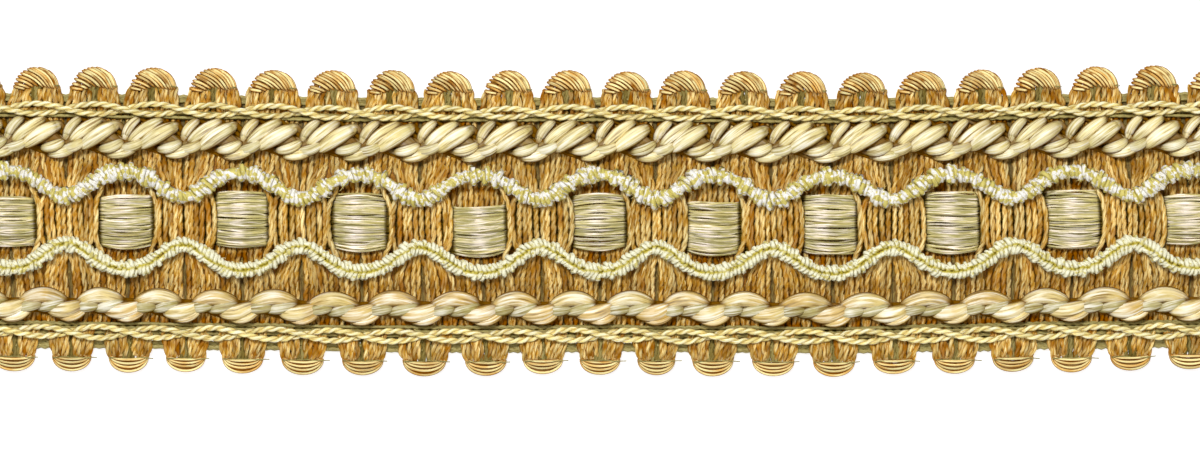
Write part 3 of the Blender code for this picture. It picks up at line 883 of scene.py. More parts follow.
class BRAID_OT_backing(bpy.types.Operator):
    """Lays the thin olive backing whose ribs show underneath and in the slits"""

    bl_idname = "braid.backing"
    bl_label = "Backing"

    def execute(self, context):
        along = np.linspace(-HALF_LENGTH, HALF_LENGTH, WEFT_YARNS * BACKING_STEPS_PER_RIB + 1)
        across = np.linspace(*BACKING_EDGES, BACKING_ROWS)
        v, u = np.meshgrid(across, along, indexing="ij")
        rib = np.cos(TURN * u / YARN_PACE)
        dip = np.cos(TURN * (v - across[0]) / (across[3] - across[0]))
        relief = BACKING_RIB * rib * (0.6 + 0.4 * dip)
        inland = smooth(np.minimum(GROUND_TOP_EDGE - v, v - GROUND_BOTTOM_EDGE) / CHANNEL_SLOPE)
        rise = np.maximum(ground_height(u, v) - YARN_SINK - BACKING_TOP, 0.0)
        top = place(u, v, BACKING_TOP + relief / 2 + rise * ashore(v) * inland)
        bottom = place(u, v, BACKING_RIB + 0.02 * MM - relief)
        mesh = shell_mesh("backing", top, bottom)
        gold = inland * np.clip(np.abs(from_slit(u)) / BACKING_SLIT, 0.0, 1.0)
        mark(mesh, "gold", np.tile(gold.ravel(), 2))
        mesh.materials.append(kept(bpy.data.materials, "olive_backing", backing_material))
        piece = new_object("backing", mesh)
        seat(piece, "gold_yarn")
        return {"FINISHED"}


def weft_strand(index, sizes, rng):
    """One weft yarn from the lower edge to the upper edge."""
    u = -HALF_LENGTH + (index + 0.5) * YARN_PACE
    v = np.linspace(GROUND_BOTTOM_EDGE - 0.6 * MM, GROUND_TOP_EDGE + 0.7 * MM, WEFT_POINTS)
    away = abs(from_square(u))
    raised = away > SQUARE_HALF
    group_middle = (math.floor(u / GROUP) + 0.5) * GROUP
    slit = round(u / GROUP) * GROUP
    shore = ashore(v)
    pinch = SLIT_PINCH * smooth((np.abs(v) - 3.2 * MM) / (1.5 * MM))
    at = group_middle + (u - group_middle) * (1 - pinch)
    if raised:
        at = at + (slit - at) * (1 - BAR_SPREAD) * (1 - shore)
        drawn = np.exp(-(((np.abs(v) - BAR_DRAW_PLACE) / BAR_DRAW_REACH) ** 2))
        at = at + (slit - at) * BAR_DRAW * drawn
    at = at + WEFT_ASIDE * waver(rng, WEFT_POINTS, 8)
    radius = sizes.weft_ply + sizes.weft_lay
    height = ground_height(u, v) - radius
    if not raised:
        height = UNDER_FILLER + (height - UNDER_FILLER) * shore
    height = height + WEFT_LIFT * waver(rng, WEFT_POINTS, 7)
    pitch = sizes.weft_pitch * rng.uniform(0.9, 1.15) * (1 + 0.35 * waver(rng, WEFT_POINTS, 6))
    size = rng.uniform(0.94, 1.06)
    # Painted light along the yarn: random painted highlights and shade, painted highlights beside the
    # slits and on the bars' edge yarns, and painted shadow where a cord shades the weft.
    glow = WEFT_SHEEN * waver(rng, WEFT_POINTS, 14)
    if abs(u - slit) < YARN_PACE:
        glow = glow + 0.5 * np.clip(waver(rng, WEFT_POINTS, 9), 0, 1)
    if raised and away < SQUARE_HALF + YARN_PACE:
        glow = glow + 0.35 * (1 - shore)
    for band in SHADED_BANDS:
        depth = np.clip(1 - np.abs(v - band.across * MM) / (band.reach * MM), 0.0, 1.0)
        shade = 0.0 if raised and band.squares_only else WEFT_SHADE
        glow = glow - shade * smooth(2 * depth)
    return strand(place(at, v, height), pitch, rng.uniform(), size, rng.uniform(), glow)


class BRAID_OT_weft(bpy.types.Operator):
    """Lays the gold weft yarns: under the satin squares, and over it as bars"""

    bl_idname = "braid.weft"
    bl_label = "Weft yarns"

    def execute(self, context):
        sizes = context.scene.braid_sizes
        rng = np.random.default_rng(1)
        yarns = [weft_strand(index, sizes, rng) for index in range(WEFT_YARNS)]
        middle = WEFT_YARNS // 2
        for name, half in (("weft_left", yarns[:middle]), ("weft_right", yarns[middle:])):
            lay_strands(
                name, half, yarn("gold_rayon"), "gold_yarn", "ground_band",
                ply=sizes.weft_ply, plies=2, lay=sizes.weft_lay, sides=4,
            )
        return {"FINISHED"}


def filler_places():
    """Where the filler's points lie along the braid: close together where it dips."""
    middles = np.arange(-(REPEATS // 2), REPEATS // 2 + 1) * REPEAT
    marks = np.array(FILLER_MARKS) * MM
    offsets = np.concatenate([-marks[:0:-1], marks, [GROUP]])
    places = (middles[:, None] + offsets).ravel()
    return np.concatenate([[-HALF_LENGTH], places])


class BRAID_OT_filler(bpy.types.Operator):
    """Lays the pale satin filler, strand beside strand, over and under the weft"""

    bl_idname = "braid.filler"
    bl_label = "Satin filler"

    def execute(self, context):
        count = context.scene.braid_sizes.filler_strands
        rng = np.random.default_rng(2)
        u = filler_places()
        steps = len(u)
        square = np.round(u / REPEAT).astype(int) + REPEATS // 2
        away = np.abs(from_square(u))
        top, bottom = column("satin_top", u), column("satin_bottom", u)
        rise = smooth((FILLER_EDGE - away) / FILLER_DROP)
        dome = FILLER_DOME * np.clip(1 - (away / SQUARE_HALF) ** 2, 0, 1)
        # A painted highlight that runs down each square, a little off its middle.
        shine_at = 0.7 * MM * waver(rng, steps, REPEATS) - 0.3 * MM
        shine = np.exp(-(((from_square(u) - shine_at) / FILLER_SHINE_REACH) ** 2))
        lean = FILLER_LEAN * rng.uniform(-1, 1, REPEATS + 1)[np.clip(square, 0, REPEATS)]
        strands = []
        for index in range(count):
            share = (index + 0.5) / count
            smile = 0.42 * MM * (1 - share) ** 1.4 - 0.10 * MM * share
            v = bottom + (top - bottom) * share + smile * np.clip(away / SQUARE_HALF, 0, 1) ** 2
            v = v + 0.13 * MM * waver(rng, steps, 60) + lean * from_square(u) / SQUARE_HALF
            shoulder = abs(2 * share - 1) ** 3
            height = FILLER_LOW - 0.1 * MM + (FILLER_CROWN - FILLER_LOW - FILLER_DOME) * rise + dome
            height = height - FILLER_SHOULDER * shoulder + 0.05 * MM * waver(rng, steps, 60)
            sunk = (rng.uniform(size=REPEATS + 1) < FILLER_SUNK_SHARE)[np.clip(square, 0, REPEATS)]
            # Painted highlights in the square's highlight, painted shade on the sunk strands, and
            # painted shade where the filler dips under the bars.
            lit = FILLER_SHINE * shine * np.clip(0.75 + 0.9 * waver(rng, steps, 50), 0, 1)
            glow = np.where(sunk, -0.35, lit) - 0.95 * smooth((away - 2.5 * MM) / (0.2 * MM))
            path = place(u, v, height - FILLER_SUNK * sunk)
            strands.append(strand(path, tone=rng.uniform(), glow=glow))
        lay_strands(
            "satin_filler", strands, yarn("sage_filament"), "cream_satin", "satin_band",
            ply=FILLER_PLY, sides=5, flatness=0.9,
        )
        return {"FINISHED"}


def rope_line(rope, u):
    """The middle line and the radius of a rope at u."""
    pull = np.exp(-((from_slit(u) / rope.reach) ** 2))
    squeeze = np.exp(-((from_slit(u) / rope.grip) ** 2))
    return rope.middle - rope.dip * pull, rope.radius - rope.pinch * squeeze


def ply_strand(rope, ply, rng):
    """One ply of a rope: over its face once in each group, and back under it between."""
    groups = np.arange(-REPEATS - 2, REPEATS + 1)
    origin = np.stack([groups * GROUP / MM, 0.0 * groups], axis=1)
    first = origin + (ply.from_u, ply.from_v) + 0.08 * rng.uniform(-1, 1, origin.shape)
    last = origin + (ply.to_u, ply.to_v) + 0.10 * rng.uniform(-1, 1, origin.shape)
    step = last - first
    outward = np.stack([-step[:, 1], step[:, 0]], axis=1) / np.linalg.norm(step, axis=1)[:, None]
    over = np.linspace(0, 1, PLY_OVER)
    across = over[:, None, None]
    front = first + across * step + np.sin(math.pi * across) * ply.bend * outward
    under = np.linspace(0, 1, PLY_UNDER + 2)[1:-1, None, None]
    back = last + under * (np.roll(first, -1, axis=0) - last)
    line = np.concatenate([front, back])[:, :-1].transpose(1, 0, 2).reshape(-1, 2)
    runs = len(groups) - 1

    def along(face, behind):
        """Values for the crossing's points and one for those behind, for every group."""
        return np.tile(np.concatenate([face, np.full(PLY_UNDER, behind)]), runs)

    u, v = line[:, 0] * MM, rope.middle + line[:, 1] * MM
    middle, radius = rope_line(rope, u)
    aside = np.clip((v - middle) / radius, -1.0, 1.0)
    face = ROPE_REST + radius * (0.45 + 0.95 * np.sqrt(1 - aside ** 2))
    face = face - PLY_DROP * along((2 * over - 1) ** 4, 1.0)
    z = np.where(along(over * 0, 1.0) > 0, PLY_BACK, face)
    size = ply.width * along(0.5 + 0.5 * np.sin(math.pi * over) ** 0.6, PLY_BACK_SIZE)
    # Painted light along a ply: a painted highlight on its first third, painted shade at both ends and
    # towards its right end, and painted shade where it runs behind the rope.
    shine = 0.6 * np.exp(-(((over - 0.35) / 0.22) ** 2)) - 0.3 * smooth((over - 0.7) / 0.3)
    shine = shine - 0.7 * smooth(1 - over / 0.15) - 0.7 * smooth(1 - (1 - over) / 0.15)
    glow = along(shine, -1.2) + 0.35 * waver(rng, len(u), 90)
    tone = ply.tone + np.repeat(0.04 * rng.uniform(-1, 1, runs), PLY_OVER + PLY_UNDER)
    keep = np.abs(u) < HALF_LENGTH
    return strand(place(u, v, z)[keep], size=size[keep], tone=tone[keep], glow=glow[keep])


def rope_strands(rope, plies):
    """A rope: its heart, painted in shade, and its plies."""
    rng = np.random.default_rng(rope.seed)
    u = np.linspace(-HALF_LENGTH, HALF_LENGTH, REPEATS * ROPE_POINTS + 1)
    middle, radius = rope_line(rope, u)
    heart = place(u, middle, ROPE_REST + (CORE_SHARE + 0.02) * radius)
    # The heart is painted in shade, dark where it shows between the plies.
    glow = 0.15 * waver(rng, len(u), 4 * REPEATS) - 0.80
    strands = [strand(heart, size=2 * CORE_SHARE * radius / MM, glow=glow)]
    return strands + [ply_strand(rope, ply, rng) for ply in plies]


class BRAID_OT_ropes(bpy.types.Operator):
    """Couches the two twisted cream ropes on the ground"""

    bl_idname = "braid.ropes"
    bl_label = "Cream ropes"

    def execute(self, context):
        ropes = (
            ("rope_top", TOP_ROPE, TOP_PLIES, "cream_rayon"),
            ("rope_bottom", BOTTOM_ROPE, BOTTOM_PLIES, "golden_cream_rayon"),
        )
        for name, rope, plies, look in ropes:
            lay_strands(
                name, rope_strands(rope, plies), yarn(look), "cream_rope_yarn", "cream_" + name,
                ply=PLY_UNIT, sides=12, ridges=PLY_RIDGES,
            )
        return {"FINISHED"}


def wave_path(u, side):
    """The centre of a wave cord: far out over the squares, close in over the bars."""
    away = np.abs(from_square(u))
    phase = TURN * away / REPEAT
    reach = WAVE_MIDDLE + WAVE_SWING * np.cos(phase) - WAVE_BROADENING * np.cos(2 * phase)
    climb = smooth((away - WAVE_CLIMB_START) / (WAVE_CLIMB_END - WAVE_CLIMB_START))
    return place(u, side * reach, WAVE_LOW + (WAVE_HIGH - WAVE_LOW) * climb)


def beside(path, offset):
    """A path moved sideways, level with the floor."""
    ahead = np.gradient(path[:, :2], axis=0)
    ahead = ahead / np.linalg.norm(ahead, axis=1)[:, None]
    sideways = np.stack([-ahead[:, 1], ahead[:, 0], np.zeros(len(path))], axis=1)
    return path + sideways * offset


class BRAID_OT_waves(bpy.types.Operator):
    """Wraps the two waving cords with fine thread"""

    bl_idname = "braid.waves"
    bl_label = "Wave cords"

    def execute(self, context):
        sizes = context.scene.braid_sizes
        u = np.linspace(-HALF_LENGTH, HALF_LENGTH, REPEATS * WAVE_POINTS + 1)
        cords = (("wave_cord_top", 1, TOP_WRAPS), ("wave_cord_bottom", -1, BOTTOM_WRAPS))
        for name, side, wraps in cords:
            finish = wrap_material(name + "_wrap", len(wraps) > 1)
            rng = np.random.default_rng(4 + side)
            for number, wrap in enumerate(wraps):
                size = 1.0 + (0.36 + 0.08 * len(wraps)) * waver(rng, len(u), 600)
                path = beside(wave_path(u, side), wrap.aside)
                thread = strand(path, wrap.hand * sizes.wrap_pitch, 0.0, size, wrap.tone)
                lay_strands(
                    f"{name}_thread_{number}", [thread], finish, "white_and_yellow_wrap", name,
                    ply=wrap.thread, plies=2, lay=wrap.lay, sides=5,
                )
                core = strand(path[::10], tone=wrap.tone)
                lay_strands(
                    f"{name}_core_{number}", [core], finish, "white_and_yellow_wrap",
                    ply=wrap.lay, sides=8,
                )
        return {"FINISHED"}


class BRAID_OT_edges(bpy.types.Operator):
    """Twines a pair of thin two-ply cords along each edge of the ground"""

    bl_idname = "braid.edges"
    bl_label = "Edge cords"

    def execute(self, context):
        sizes = context.scene.braid_sizes
        rng = np.random.default_rng(6)
        u = np.linspace(-HALF_LENGTH, HALF_LENGTH, PAIR_POINTS)
        for name, v in (("edge_cord_top", TOP_PAIR_PLACE), ("edge_cord_bottom", BOTTOM_PAIR_PLACE)):
            strands = []
            for half in (0.0, 0.5):
                angle = TURN * (u / REPEAT + half + 0.25)
                across = v + PAIR_OFFSET * np.cos(angle) + 0.08 * MM * waver(rng, len(u), 30)
                height = PAIR_HEIGHT + 0.85 * PAIR_OFFSET * np.sin(angle)
                path = place(u, across, height)
                strands.append(strand(path, -sizes.edge_pitch, rng.uniform(), 1.0, rng.uniform()))
            lay_strands(
                name + "_pair", strands, yarn("pale_cotton"), "pale_green_cord", name,
                ply=sizes.edge_ply, plies=2, lay=sizes.edge_lay,
            )
        return {"FINISHED"}


# The strands that cross the arch of an upper loop, from left to right: the angle in
# degrees where each starts, on the rim, and in millimetres from the arch's middle
# where it ends, to the side and up, and how far it bends outward on its way.
Bend = namedtuple("Bend", "start aside rise bulge")
ARCH_BENDS = (
    Bend(173, -1.15, 0.05, 0.00),
    Bend(162, -0.65, 0.16, 0.05),
    Bend(151, -0.25, 0.30, 0.10),
    Bend(141, 0.20, 0.36, 0.16),
    Bend(131, 0.70, 0.33, 0.22),
    Bend(122, 1.12, 0.28, 0.28),
    Bend(113, 1.48, 0.22, 0.34),
    Bend(104, 1.78, 0.18, 0.40),
    Bend(95, 2.00, 0.15, 0.43),
    Bend(85, 2.16, 0.15, 0.46),
    Bend(74, 2.27, 0.18, 0.40),
    Bend(62, 2.33, 0.22, 0.28),
    Bend(49, 2.35, 0.28, 0.16),
)
ARCH_PLY = 0.175 * MM
ARCH_POINTS = 14
ARCH_CENTRE = 13.55 * MM
ARCH_HALF_WIDTH = 2.36 * MM
ARCH_RISE = 2.32 * MM
ARCH_AXIS = 0.75 * MM
ARCH_HEIGHT = 0.62 * MM
ARCH_END_DROP = 0.35 * MM
CORE_REACHES = (0.76, 0.48)
CORE_SIZE = 2.6
UNDER_PLACES = (-1.88, -1.05, 1.05, 1.88)
UNDER_SIZE = 2.4
UNDER_HEIGHT = 0.42 * MM
LEG_PLACES = (-2.50, -2.05, -1.58, -1.08, -0.58, 0.58, 1.08, 1.58, 2.05, 2.50)
LEG_TAPER = 0.14
LEG_DRIFT_REACH = 2.6
LEG_POINTS = 12
LEG_PLY = 0.23 * MM
LEG_LAY = 0.12 * MM
LEG_PITCH = 2.6 * MM
LEG_ARCH = 0.22 * MM
LEG_END_DROP = 0.50 * MM

# Where the upper legs start and end across the braid and how high they lie, and how
# far one loop's legs may drift aside.
TOP_LEG_RUN = (TOP_ROOT - 1.1 * MM, ARCH_CENTRE + 0.40 * MM, 0.95 * MM)
TOP_LEG_DRIFT = 0.35 * MM


def inside(centre, half_width):
    """Whether a loop ends inside the cut length, or out of it by less than the margin."""
    return abs(centre) + half_width < HALF_LENGTH + CUT_MARGIN


def arch_strands(centre, rng):
    """The strands of one upper loop's arch, which cross it like a croissant's folds."""
    share = np.linspace(0, 1, ARCH_POINTS)
    rise = ARCH_RISE * rng.uniform(0.94, 1.04)
    ends = np.clip(1 - share / 0.12, 0, 1) ** 2 + np.clip(1 - (1 - share) / 0.12, 0, 1) ** 2
    strands = []
    for bend in ARCH_BENDS:
        start = math.radians(bend.start + 3 * rng.uniform(-1, 1))
        first = np.array([ARCH_HALF_WIDTH * math.cos(start), rise * math.sin(start)])
        last = np.array([bend.aside, bend.rise]) * MM
        ahead = (last - first) / np.linalg.norm(last - first)
        outward = np.array([-ahead[1], ahead[0]]) * bend.bulge * MM
        line = first + np.outer(share, last - first) + np.outer(np.sin(math.pi * share), outward)
        reach = np.hypot(line[:, 0] / ARCH_HALF_WIDTH, line[:, 1] / rise)
        dome = np.sqrt(np.clip(1 - ((reach - 0.58) / 0.44) ** 2, 0, 1))
        z = ARCH_AXIS + ARCH_HEIGHT * dome - ARCH_END_DROP * ends + 0.05 * MM * rng.uniform(-1, 1)
        proud = 1 - 2 * (len(strands) % 2)
        z = z + 0.05 * MM * proud
        size = rng.uniform(0.9, 1.15) * (1.10 - 0.34 * share) * (1 - 0.35 * ends)
        # Painted light: random painted highlights and shade, and the higher strands painted lighter
        # than the lower ones.
        glow = 1.0 * waver(rng, ARCH_POINTS, 4) + 0.35 + 0.35 * proud
        path = place(centre + line[:, 0], ARCH_CENTRE + line[:, 1], z)
        strands.append(strand(path, size=size, tone=rng.uniform(), glow=glow))
    # Two cores under the arch, painted in shade, that fill the gaps between its strands.
    angle = np.radians(170 - 160 * share)
    size = CORE_SIZE * (0.25 + 0.75 * np.sin(math.pi * share) ** 0.5)
    for reach in CORE_REACHES:
        u = centre + reach * ARCH_HALF_WIDTH * np.cos(angle)
        v = ARCH_CENTRE + reach * rise * np.sin(angle)
        strands.append(strand(place(u, v, ARCH_AXIS), size=size, glow=-0.8))
    return strands + under_strands(centre, TOP_ROOT - 0.5 * MM, ARCH_CENTRE + 0.45 * MM, 1.0)


def under_strands(centre, root, tip, narrowing):
    """The thick yarns, painted in shade, that lie under one loop's legs and close the gaps between
    them.
    """
    share = np.linspace(0, 1, 4)
    strands = []
    for aside in UNDER_PLACES:
        u = centre + aside * MM * (1 + (narrowing - 1) * share)
        if np.abs(u).max() < HALF_LENGTH - CUT_MARGIN:
            path = place(u, root + (tip - root) * share, UNDER_HEIGHT)
            strands.append(strand(path, size=UNDER_SIZE, glow=-0.6))
    return strands


def leg_strand(at, root, tip, height, rng):
    """One short yarn of a loop's leg, a little bent, from its root to its tip."""
    share = np.linspace(0, 1, LEG_POINTS)
    u = np.asarray(at) + 0.14 * MM * waver(rng, LEG_POINTS, 3)
    v = root + (tip - root) * share
    z = height + LEG_ARCH * np.sin(math.pi * share) - LEG_END_DROP * share ** 3
    z = z + 0.10 * MM * rng.uniform(-1, 1)
    # Random painted highlights and shade along the yarn.
    glow = 0.9 * waver(rng, LEG_POINTS, 4) - 0.1
    size = rng.uniform(0.88, 1.12) * (1 - 0.3 * share ** 3)
    return strand(place(u, v, z), LEG_PITCH, rng.uniform(), size, rng.uniform(), glow)


def loop_legs(centre, places, drift, narrowing, run, rng):
    """The yarns of one loop's legs, side by side, where they lie inside the cut length."""
    shift = drift * rng.uniform(-1, 1)
    legs = []
    for aside in places:
        at = centre + (aside * MM + shift * (1 - abs(aside) / LEG_DRIFT_REACH)) * narrowing
        if np.abs(at).max() < HALF_LENGTH - LEG_PLY:
            legs.append(leg_strand(at, *run, rng))
    return legs


def lay_loops(edge, bends_name, bends, ply, legs):
    """Makes both pieces of an edge's loops: their smooth bends and their legs."""
    bright = yarn("bright_gold_rayon")
    lay_strands(bends_name, bends, bright, "gold_yarn", "loop_edge_" + edge, ply=ply)
    lay_strands(
        "loop_legs_" + edge, legs, yarn("nested_gold_rayon"), "gold_yarn",
        ply=LEG_PLY, plies=2, lay=LEG_LAY, sides=5,
    )


class BRAID_OT_top_loops(bpy.types.Operator):
    """Bends the looped weft ends of the upper edge, folded like small croissants"""

    bl_idname = "braid.top_loops"
    bl_label = "Upper loops"

    def execute(self, context):
        rng = np.random.default_rng(7)
        narrowing = 1.08 - LEG_TAPER * np.linspace(0, 1, LEG_POINTS)
        arches, legs = [], []
        for index in range(-REPEATS, REPEATS):
            centre = (index + 0.5) * GROUP + 0.08 * MM * rng.uniform(-1, 1)
            arches += arch_strands(centre, rng)
            legs += loop_legs(centre, LEG_PLACES, TOP_LEG_DRIFT, narrowing, TOP_LEG_RUN, rng)
        lay_loops("top", "loop_arches_top", arches, ARCH_PLY, legs)
        return {"FINISHED"}


NEST_RINGS = 4
NEST_HALF_WIDTH = 2.06 * MM
NEST_PACE = 0.10 * MM
NEST_BEND = -14.22 * MM
NEST_DEPTH = 1.42 * MM
NEST_DEPTH_PACE = 0.39 * MM
NEST_POINTS = 24
NEST_PLY = 0.16 * MM
NEST_BASE_SIZE = 3.0
NEST_TAPER = 0.22
NEST_LEGS = (-2.34, -1.92, -1.46, -0.98, -0.50, 0.50, 0.98, 1.46, 1.92, 2.34)
NEST_LEG_RUN = (BOTTOM_ROOT + 0.7 * MM, NEST_BEND - 0.25 * MM, 0.85 * MM)
NEST_LEG_DRIFT = 0.22 * MM


def crescent_strands(centre, rng):
    """The smooth nested strands at the foot of one lower loop."""
    angle = np.linspace(0, math.pi, NEST_POINTS)
    depth = NEST_DEPTH + 0.12 * MM * rng.uniform(-1, 1)
    strands = []
    for ring in range(NEST_RINGS):
        half = NEST_HALF_WIDTH - ring * NEST_PACE + 0.04 * MM * rng.uniform(-1, 1)
        bowl = depth - ring * NEST_DEPTH_PACE + 0.04 * MM * rng.uniform(-1, 1)
        u = centre - half * np.cos(angle)
        v = NEST_BEND - bowl * np.sin(angle) ** 0.95
        z = (0.50 + 0.42 * np.sin(angle) ** 0.5 + 0.11 * ring) * MM
        keep = np.abs(u) < HALF_LENGTH
        if keep.sum() < 4:
            continue
        # Painted highlights, brightest at the middle of each strand, and random painted highlights and
        # shade.
        glow = (0.8 * np.sin(angle) + 0.6 * waver(rng, NEST_POINTS, 5))[keep]
        size = (rng.uniform(0.92, 1.08) * (0.7 + 0.3 * np.sin(angle)))[keep]
        strands.append(strand(place(u, v, z)[keep], size=size, tone=rng.uniform(), glow=glow))
    # A wide base under the rings, painted in shade, that fills the gaps between them.
    if inside(centre, NEST_HALF_WIDTH):
        u = centre - 0.82 * NEST_HALF_WIDTH * np.cos(angle)
        v = NEST_BEND - 0.62 * depth * np.sin(angle)
        size = NEST_BASE_SIZE * (0.75 + 0.25 * np.sin(angle))
        strands.append(strand(place(u, v, 0.50 * MM), size=size, glow=-0.7))
    return strands + under_strands(centre, BOTTOM_ROOT + 0.4 * MM, NEST_BEND, 0.8)


class BRAID_OT_bottom_loops(bpy.types.Operator):
    """Bends the looped weft ends of the lower edge, nested one inside the next"""

    bl_idname = "braid.bottom_loops"
    bl_label = "Lower loops"

    def execute(self, context):
        rng = np.random.default_rng(8)
        narrowing = 1 - NEST_TAPER * np.linspace(0, 1, LEG_POINTS) ** 2.5
        nests, legs = [], []
        for index in range(-REPEATS, REPEATS + 1):
            centre = index * GROUP
            nests += crescent_strands(centre, rng)
            legs += loop_legs(centre, NEST_LEGS, NEST_LEG_DRIFT, narrowing, NEST_LEG_RUN, rng)
        lay_loops("bottom", "loop_nests_bottom", nests, NEST_PLY, legs)
        return {"FINISHED"}


# Olive cords that run along under the loops, the short upright olive yarns seen in
# the loops' eyes, and the fine threads that bind the loops: how far across, how high
# and how thick.
Warp = namedtuple("Warp", "across height size")
WARPS = (
    Warp(10.82, 1.22, 0.9),
    Warp(11.25, 1.15, 0.9),
    Warp(12.45, 0.50, 1.1),
    Warp(12.72, 0.40, 1.1),
    Warp(12.95, 0.48, 1.1),
    Warp(-10.80, 1.10, 0.9),
    Warp(-11.25, 1.05, 0.9),
    Warp(-11.70, 0.95, 0.9),
    Warp(-12.25, 0.50, 1.0),
    Warp(-12.72, 0.48, 1.2),
    Warp(-12.96, 0.38, 1.2),
    Warp(-13.18, 0.45, 1.2),
)
WARP_POINTS = 160
WARP_PLY = 0.20 * MM
WARP_LAY = 0.12 * MM
WARP_PITCH = 1.7 * MM
EYE_YARNS = (-0.42 * MM, 0.0, 0.42 * MM)
EYE_YARN_POINTS = 6
EYE_YARN_HEIGHT = 0.62 * MM
EYE_YARN_PITCH = 2.0 * MM
BINDER_RADIUS = 0.055 * MM
TOP_BINDER = Warp(13.98, 1.48, 1.0)
BOTTOM_BINDER = Warp(-14.36, 1.30, 1.0)
BINDER_START = 2.05 * MM
BINDER_TAIL = 2.75 * MM


class BRAID_OT_warps(bpy.types.Operator):
    """Runs the olive warp cords and the fine binding threads along the loops"""

    bl_idname = "braid.warps"
    bl_label = "Warps and binding threads"

    def execute(self, context):
        rng = np.random.default_rng(9)
        u = np.linspace(-HALF_LENGTH, HALF_LENGTH, WARP_POINTS)
        strands = []
        for row in WARPS:
            v = row.across * MM + 0.05 * MM * waver(rng, len(u), 60)
            # Painted highlights in patches along each warp cord, in its sage sheen.
            glow = 0.45 + 0.5 * waver(rng, len(u), 120)
            path = place(u, v, row.height * MM)
            strands.append(strand(path, WARP_PITCH, rng.uniform(), row.size, 0.5, glow))
        share = np.linspace(0, 1, EYE_YARN_POINTS)
        eyes = (
            (0.5, TOP_ROOT - 0.5 * MM, ARCH_CENTRE + 0.8 * MM),
            (0.0, BOTTOM_ROOT + 0.5 * MM, NEST_BEND - 0.2 * MM),
        )
        for offset, root, tip in eyes:
            for index in range(-REPEATS, REPEATS + 1):
                centre = (index + offset) * GROUP
                if not inside(centre, 0.7 * MM):
                    continue
                for aside in EYE_YARNS:
                    at = centre + aside + 0.08 * MM * waver(rng, EYE_YARN_POINTS, 2)
                    path = place(at, root + (tip - root) * share, EYE_YARN_HEIGHT)
                    # The eye yarns are painted in shade.
                    glow = 0.3 * rng.uniform(-1, 1) - 0.45
                    phase, tone = rng.uniform(), rng.uniform()
                    strands.append(strand(path, EYE_YARN_PITCH, phase, 1.0, tone, glow))
        lay_strands(
            "warps", strands, yarn("olive_warp"), "gold_yarn",
            ply=WARP_PLY, plies=2, lay=WARP_LAY, sides=5,
        )
        threads = []
        for index in range(-REPEATS, REPEATS):
            start = 1.9 * MM + 0.2 * MM * rng.uniform(-1, 1)
            u = (index + 0.5) * GROUP + np.linspace(start, BINDER_TAIL - 0.2 * MM, 12)
            v = TOP_BINDER.across * MM + 0.06 * MM * waver(rng, len(u), 3)
            threads.append(strand(place(u, v, TOP_BINDER.height * MM)))
        for index in range(-REPEATS + 1, REPEATS):
            tail = BINDER_TAIL * rng.uniform(0.92, 1.06)
            u = index * GROUP + np.linspace(-BINDER_START, tail, 12)
            v = BOTTOM_BINDER.across * MM + 0.08 * MM * waver(rng, len(u), 4)
            threads.append(strand(place(u, v, BOTTOM_BINDER.height * MM)))
        thread = yarn("pale_binding")
        lay_strands("binding_threads", threads, thread, "gold_yarn", ply=BINDER_RADIUS, sides=5)
        return {"FINISHED"}


class BRAID_OT_fuzz(bpy.types.Operator):
    """Adds the short hairs that stand off the wrapped cords"""

    bl_idname = "braid.fuzz"
    bl_label = "Fuzz"

    def execute(self, context):
        for source, density, reach, seed in FUZZY_PIECES:
            values = {
                "Density": density, "Hair Length": reach, "Hair Radius": HAIR_RADIUS,
                "Seed": seed, "Material": yarn("hair"),
            }
            mesh = bpy.data.objects[source].data.copy()
            tree = kept(bpy.data.node_groups, "fuzz", fuzz_tree)
            piece = evaluated_piece(source + "_fuzz", mesh, tree, values)
            seat(piece, "white_and_yellow_wrap")
        return {"FINISHED"}


FLOOR_DROP = 0.15 * MM
FLOOR_GLOW = 0.80
WORLD_GLOW = 0.40

# The studio's lights: where each is, how wide, how strong, and its colour.
LIGHTS = (
    ("key", (-0.10, 0.19, 0.66), 0.13, 3.3, (1.0, 0.99, 0.97)),
    ("fill", (0.35, -0.25, 0.6), 0.5, 0.6, (1.0, 1.0, 1.0)),
)


def area_light(name, place_at, size, power, hue):
    """A soft studio light aimed at the braid's middle."""
    data = bpy.data.lights.new(name, "AREA")
    data.shape = "DISK"
    data.size = size
    data.energy = power
    data.color = hue
    light = new_object(name, data)
    light.location = place_at
    light.rotation_euler = (-Vector(place_at)).to_track_quat("-Z", "Y").to_euler()


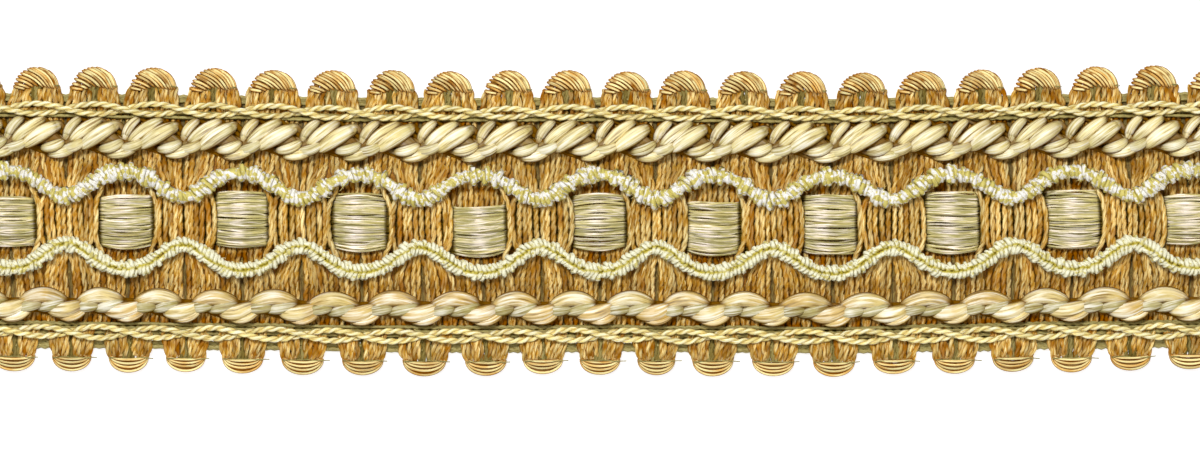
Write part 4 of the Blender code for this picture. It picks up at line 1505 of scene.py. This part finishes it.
class BRAID_OT_stage(bpy.types.Operator):
    """Sets the pale floor, the soft studio light and the camera above the braid"""

    bl_idname = "braid.stage"
    bl_label = "Stage"

    def execute(self, context):
        scene = context.scene
        bpy.ops.mesh.primitive_plane_add(size=4.0, location=(0, 0, -FLOOR_DROP))
        floor = context.object
        floor.name = "floor"
        finish, tree, shader = new_material("floor_white")
        where = add(tree, "ShaderNodeTexCoord").outputs["Object"]
        mottle = noise(tree, where, 30.0, 2.0)
        tone = remapped(tree, mottle, 0.3, 0.7, 0.40, 0.42)
        tree.links.new(combined(tree, tone, tone, tone), shader.inputs["Base Color"])
        values = {
            "Roughness": 0.9, "Specular IOR Level": 0.1,
            "Emission Color": WHITE, "Emission Strength": FLOOR_GLOW,
        }
        for label, value in values.items():
            shader.inputs[label].default_value = value
        floor.data.materials.append(finish)

        for row in LIGHTS:
            area_light(*row)
        world = bpy.data.worlds.new("studio")
        world.use_nodes = True
        background = world.node_tree.nodes["Background"]
        background.inputs["Color"].default_value = WHITE
        background.inputs["Strength"].default_value = WORLD_GLOW
        scene.world = world
        scene.view_settings.view_transform = "Standard"

        data = bpy.data.cameras.new("camera")
        data.sensor_width = SENSOR
        data.lens = LENS
        data.clip_start = 0.01
        data.clip_end = 10.0
        camera = new_object("camera", data)
        camera.location = (0.0, VIEW_MIDDLE_Y, VIEW_WIDTH * LENS / SENSOR)
        scene.camera = camera
        return {"FINISHED"}


STEPS = (
    BRAID_OT_stage,
    BRAID_OT_backing,
    BRAID_OT_weft,
    BRAID_OT_filler,
    BRAID_OT_ropes,
    BRAID_OT_waves,
    BRAID_OT_edges,
    BRAID_OT_top_loops,
    BRAID_OT_bottom_loops,
    BRAID_OT_warps,
    BRAID_OT_fuzz,
)


class BRAID_PT_panel(bpy.types.Panel):
    """Lists the braid's pieces, sizes and colours"""

    bl_idname = "BRAID_PT_panel"
    bl_label = "Gimp Braid Trim"
    bl_space_type = "VIEW_3D"
    bl_region_type = "UI"
    bl_category = "Braid"

    def draw(self, context):
        for settings in (context.scene.braid_sizes, context.scene.braid_colours):
            box = self.layout.box()
            for label in settings.__annotations__:
                box.prop(settings, label)
        for step in STEPS:
            self.layout.operator(step.bl_idname)


CLASSES = (BraidSizes, BraidColours, *STEPS, BRAID_PT_panel)


def register():
    """Registers the classes and the scene's settings."""
    for item in CLASSES:
        bpy.utils.register_class(item)
    bpy.types.Scene.braid_sizes = PointerProperty(type=BraidSizes)
    bpy.types.Scene.braid_colours = PointerProperty(type=BraidColours)


def unregister():
    """Takes the classes and the scene's settings out again."""
    del bpy.types.Scene.braid_colours
    del bpy.types.Scene.braid_sizes
    for item in reversed(CLASSES):
        bpy.utils.unregister_class(item)


def main():
    """Makes the braid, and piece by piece."""
    register()
    for step in STEPS:
        group, name = step.bl_idname.split(".")
        getattr(getattr(bpy.ops, group), name)()


if __name__ == "__main__":
    main()
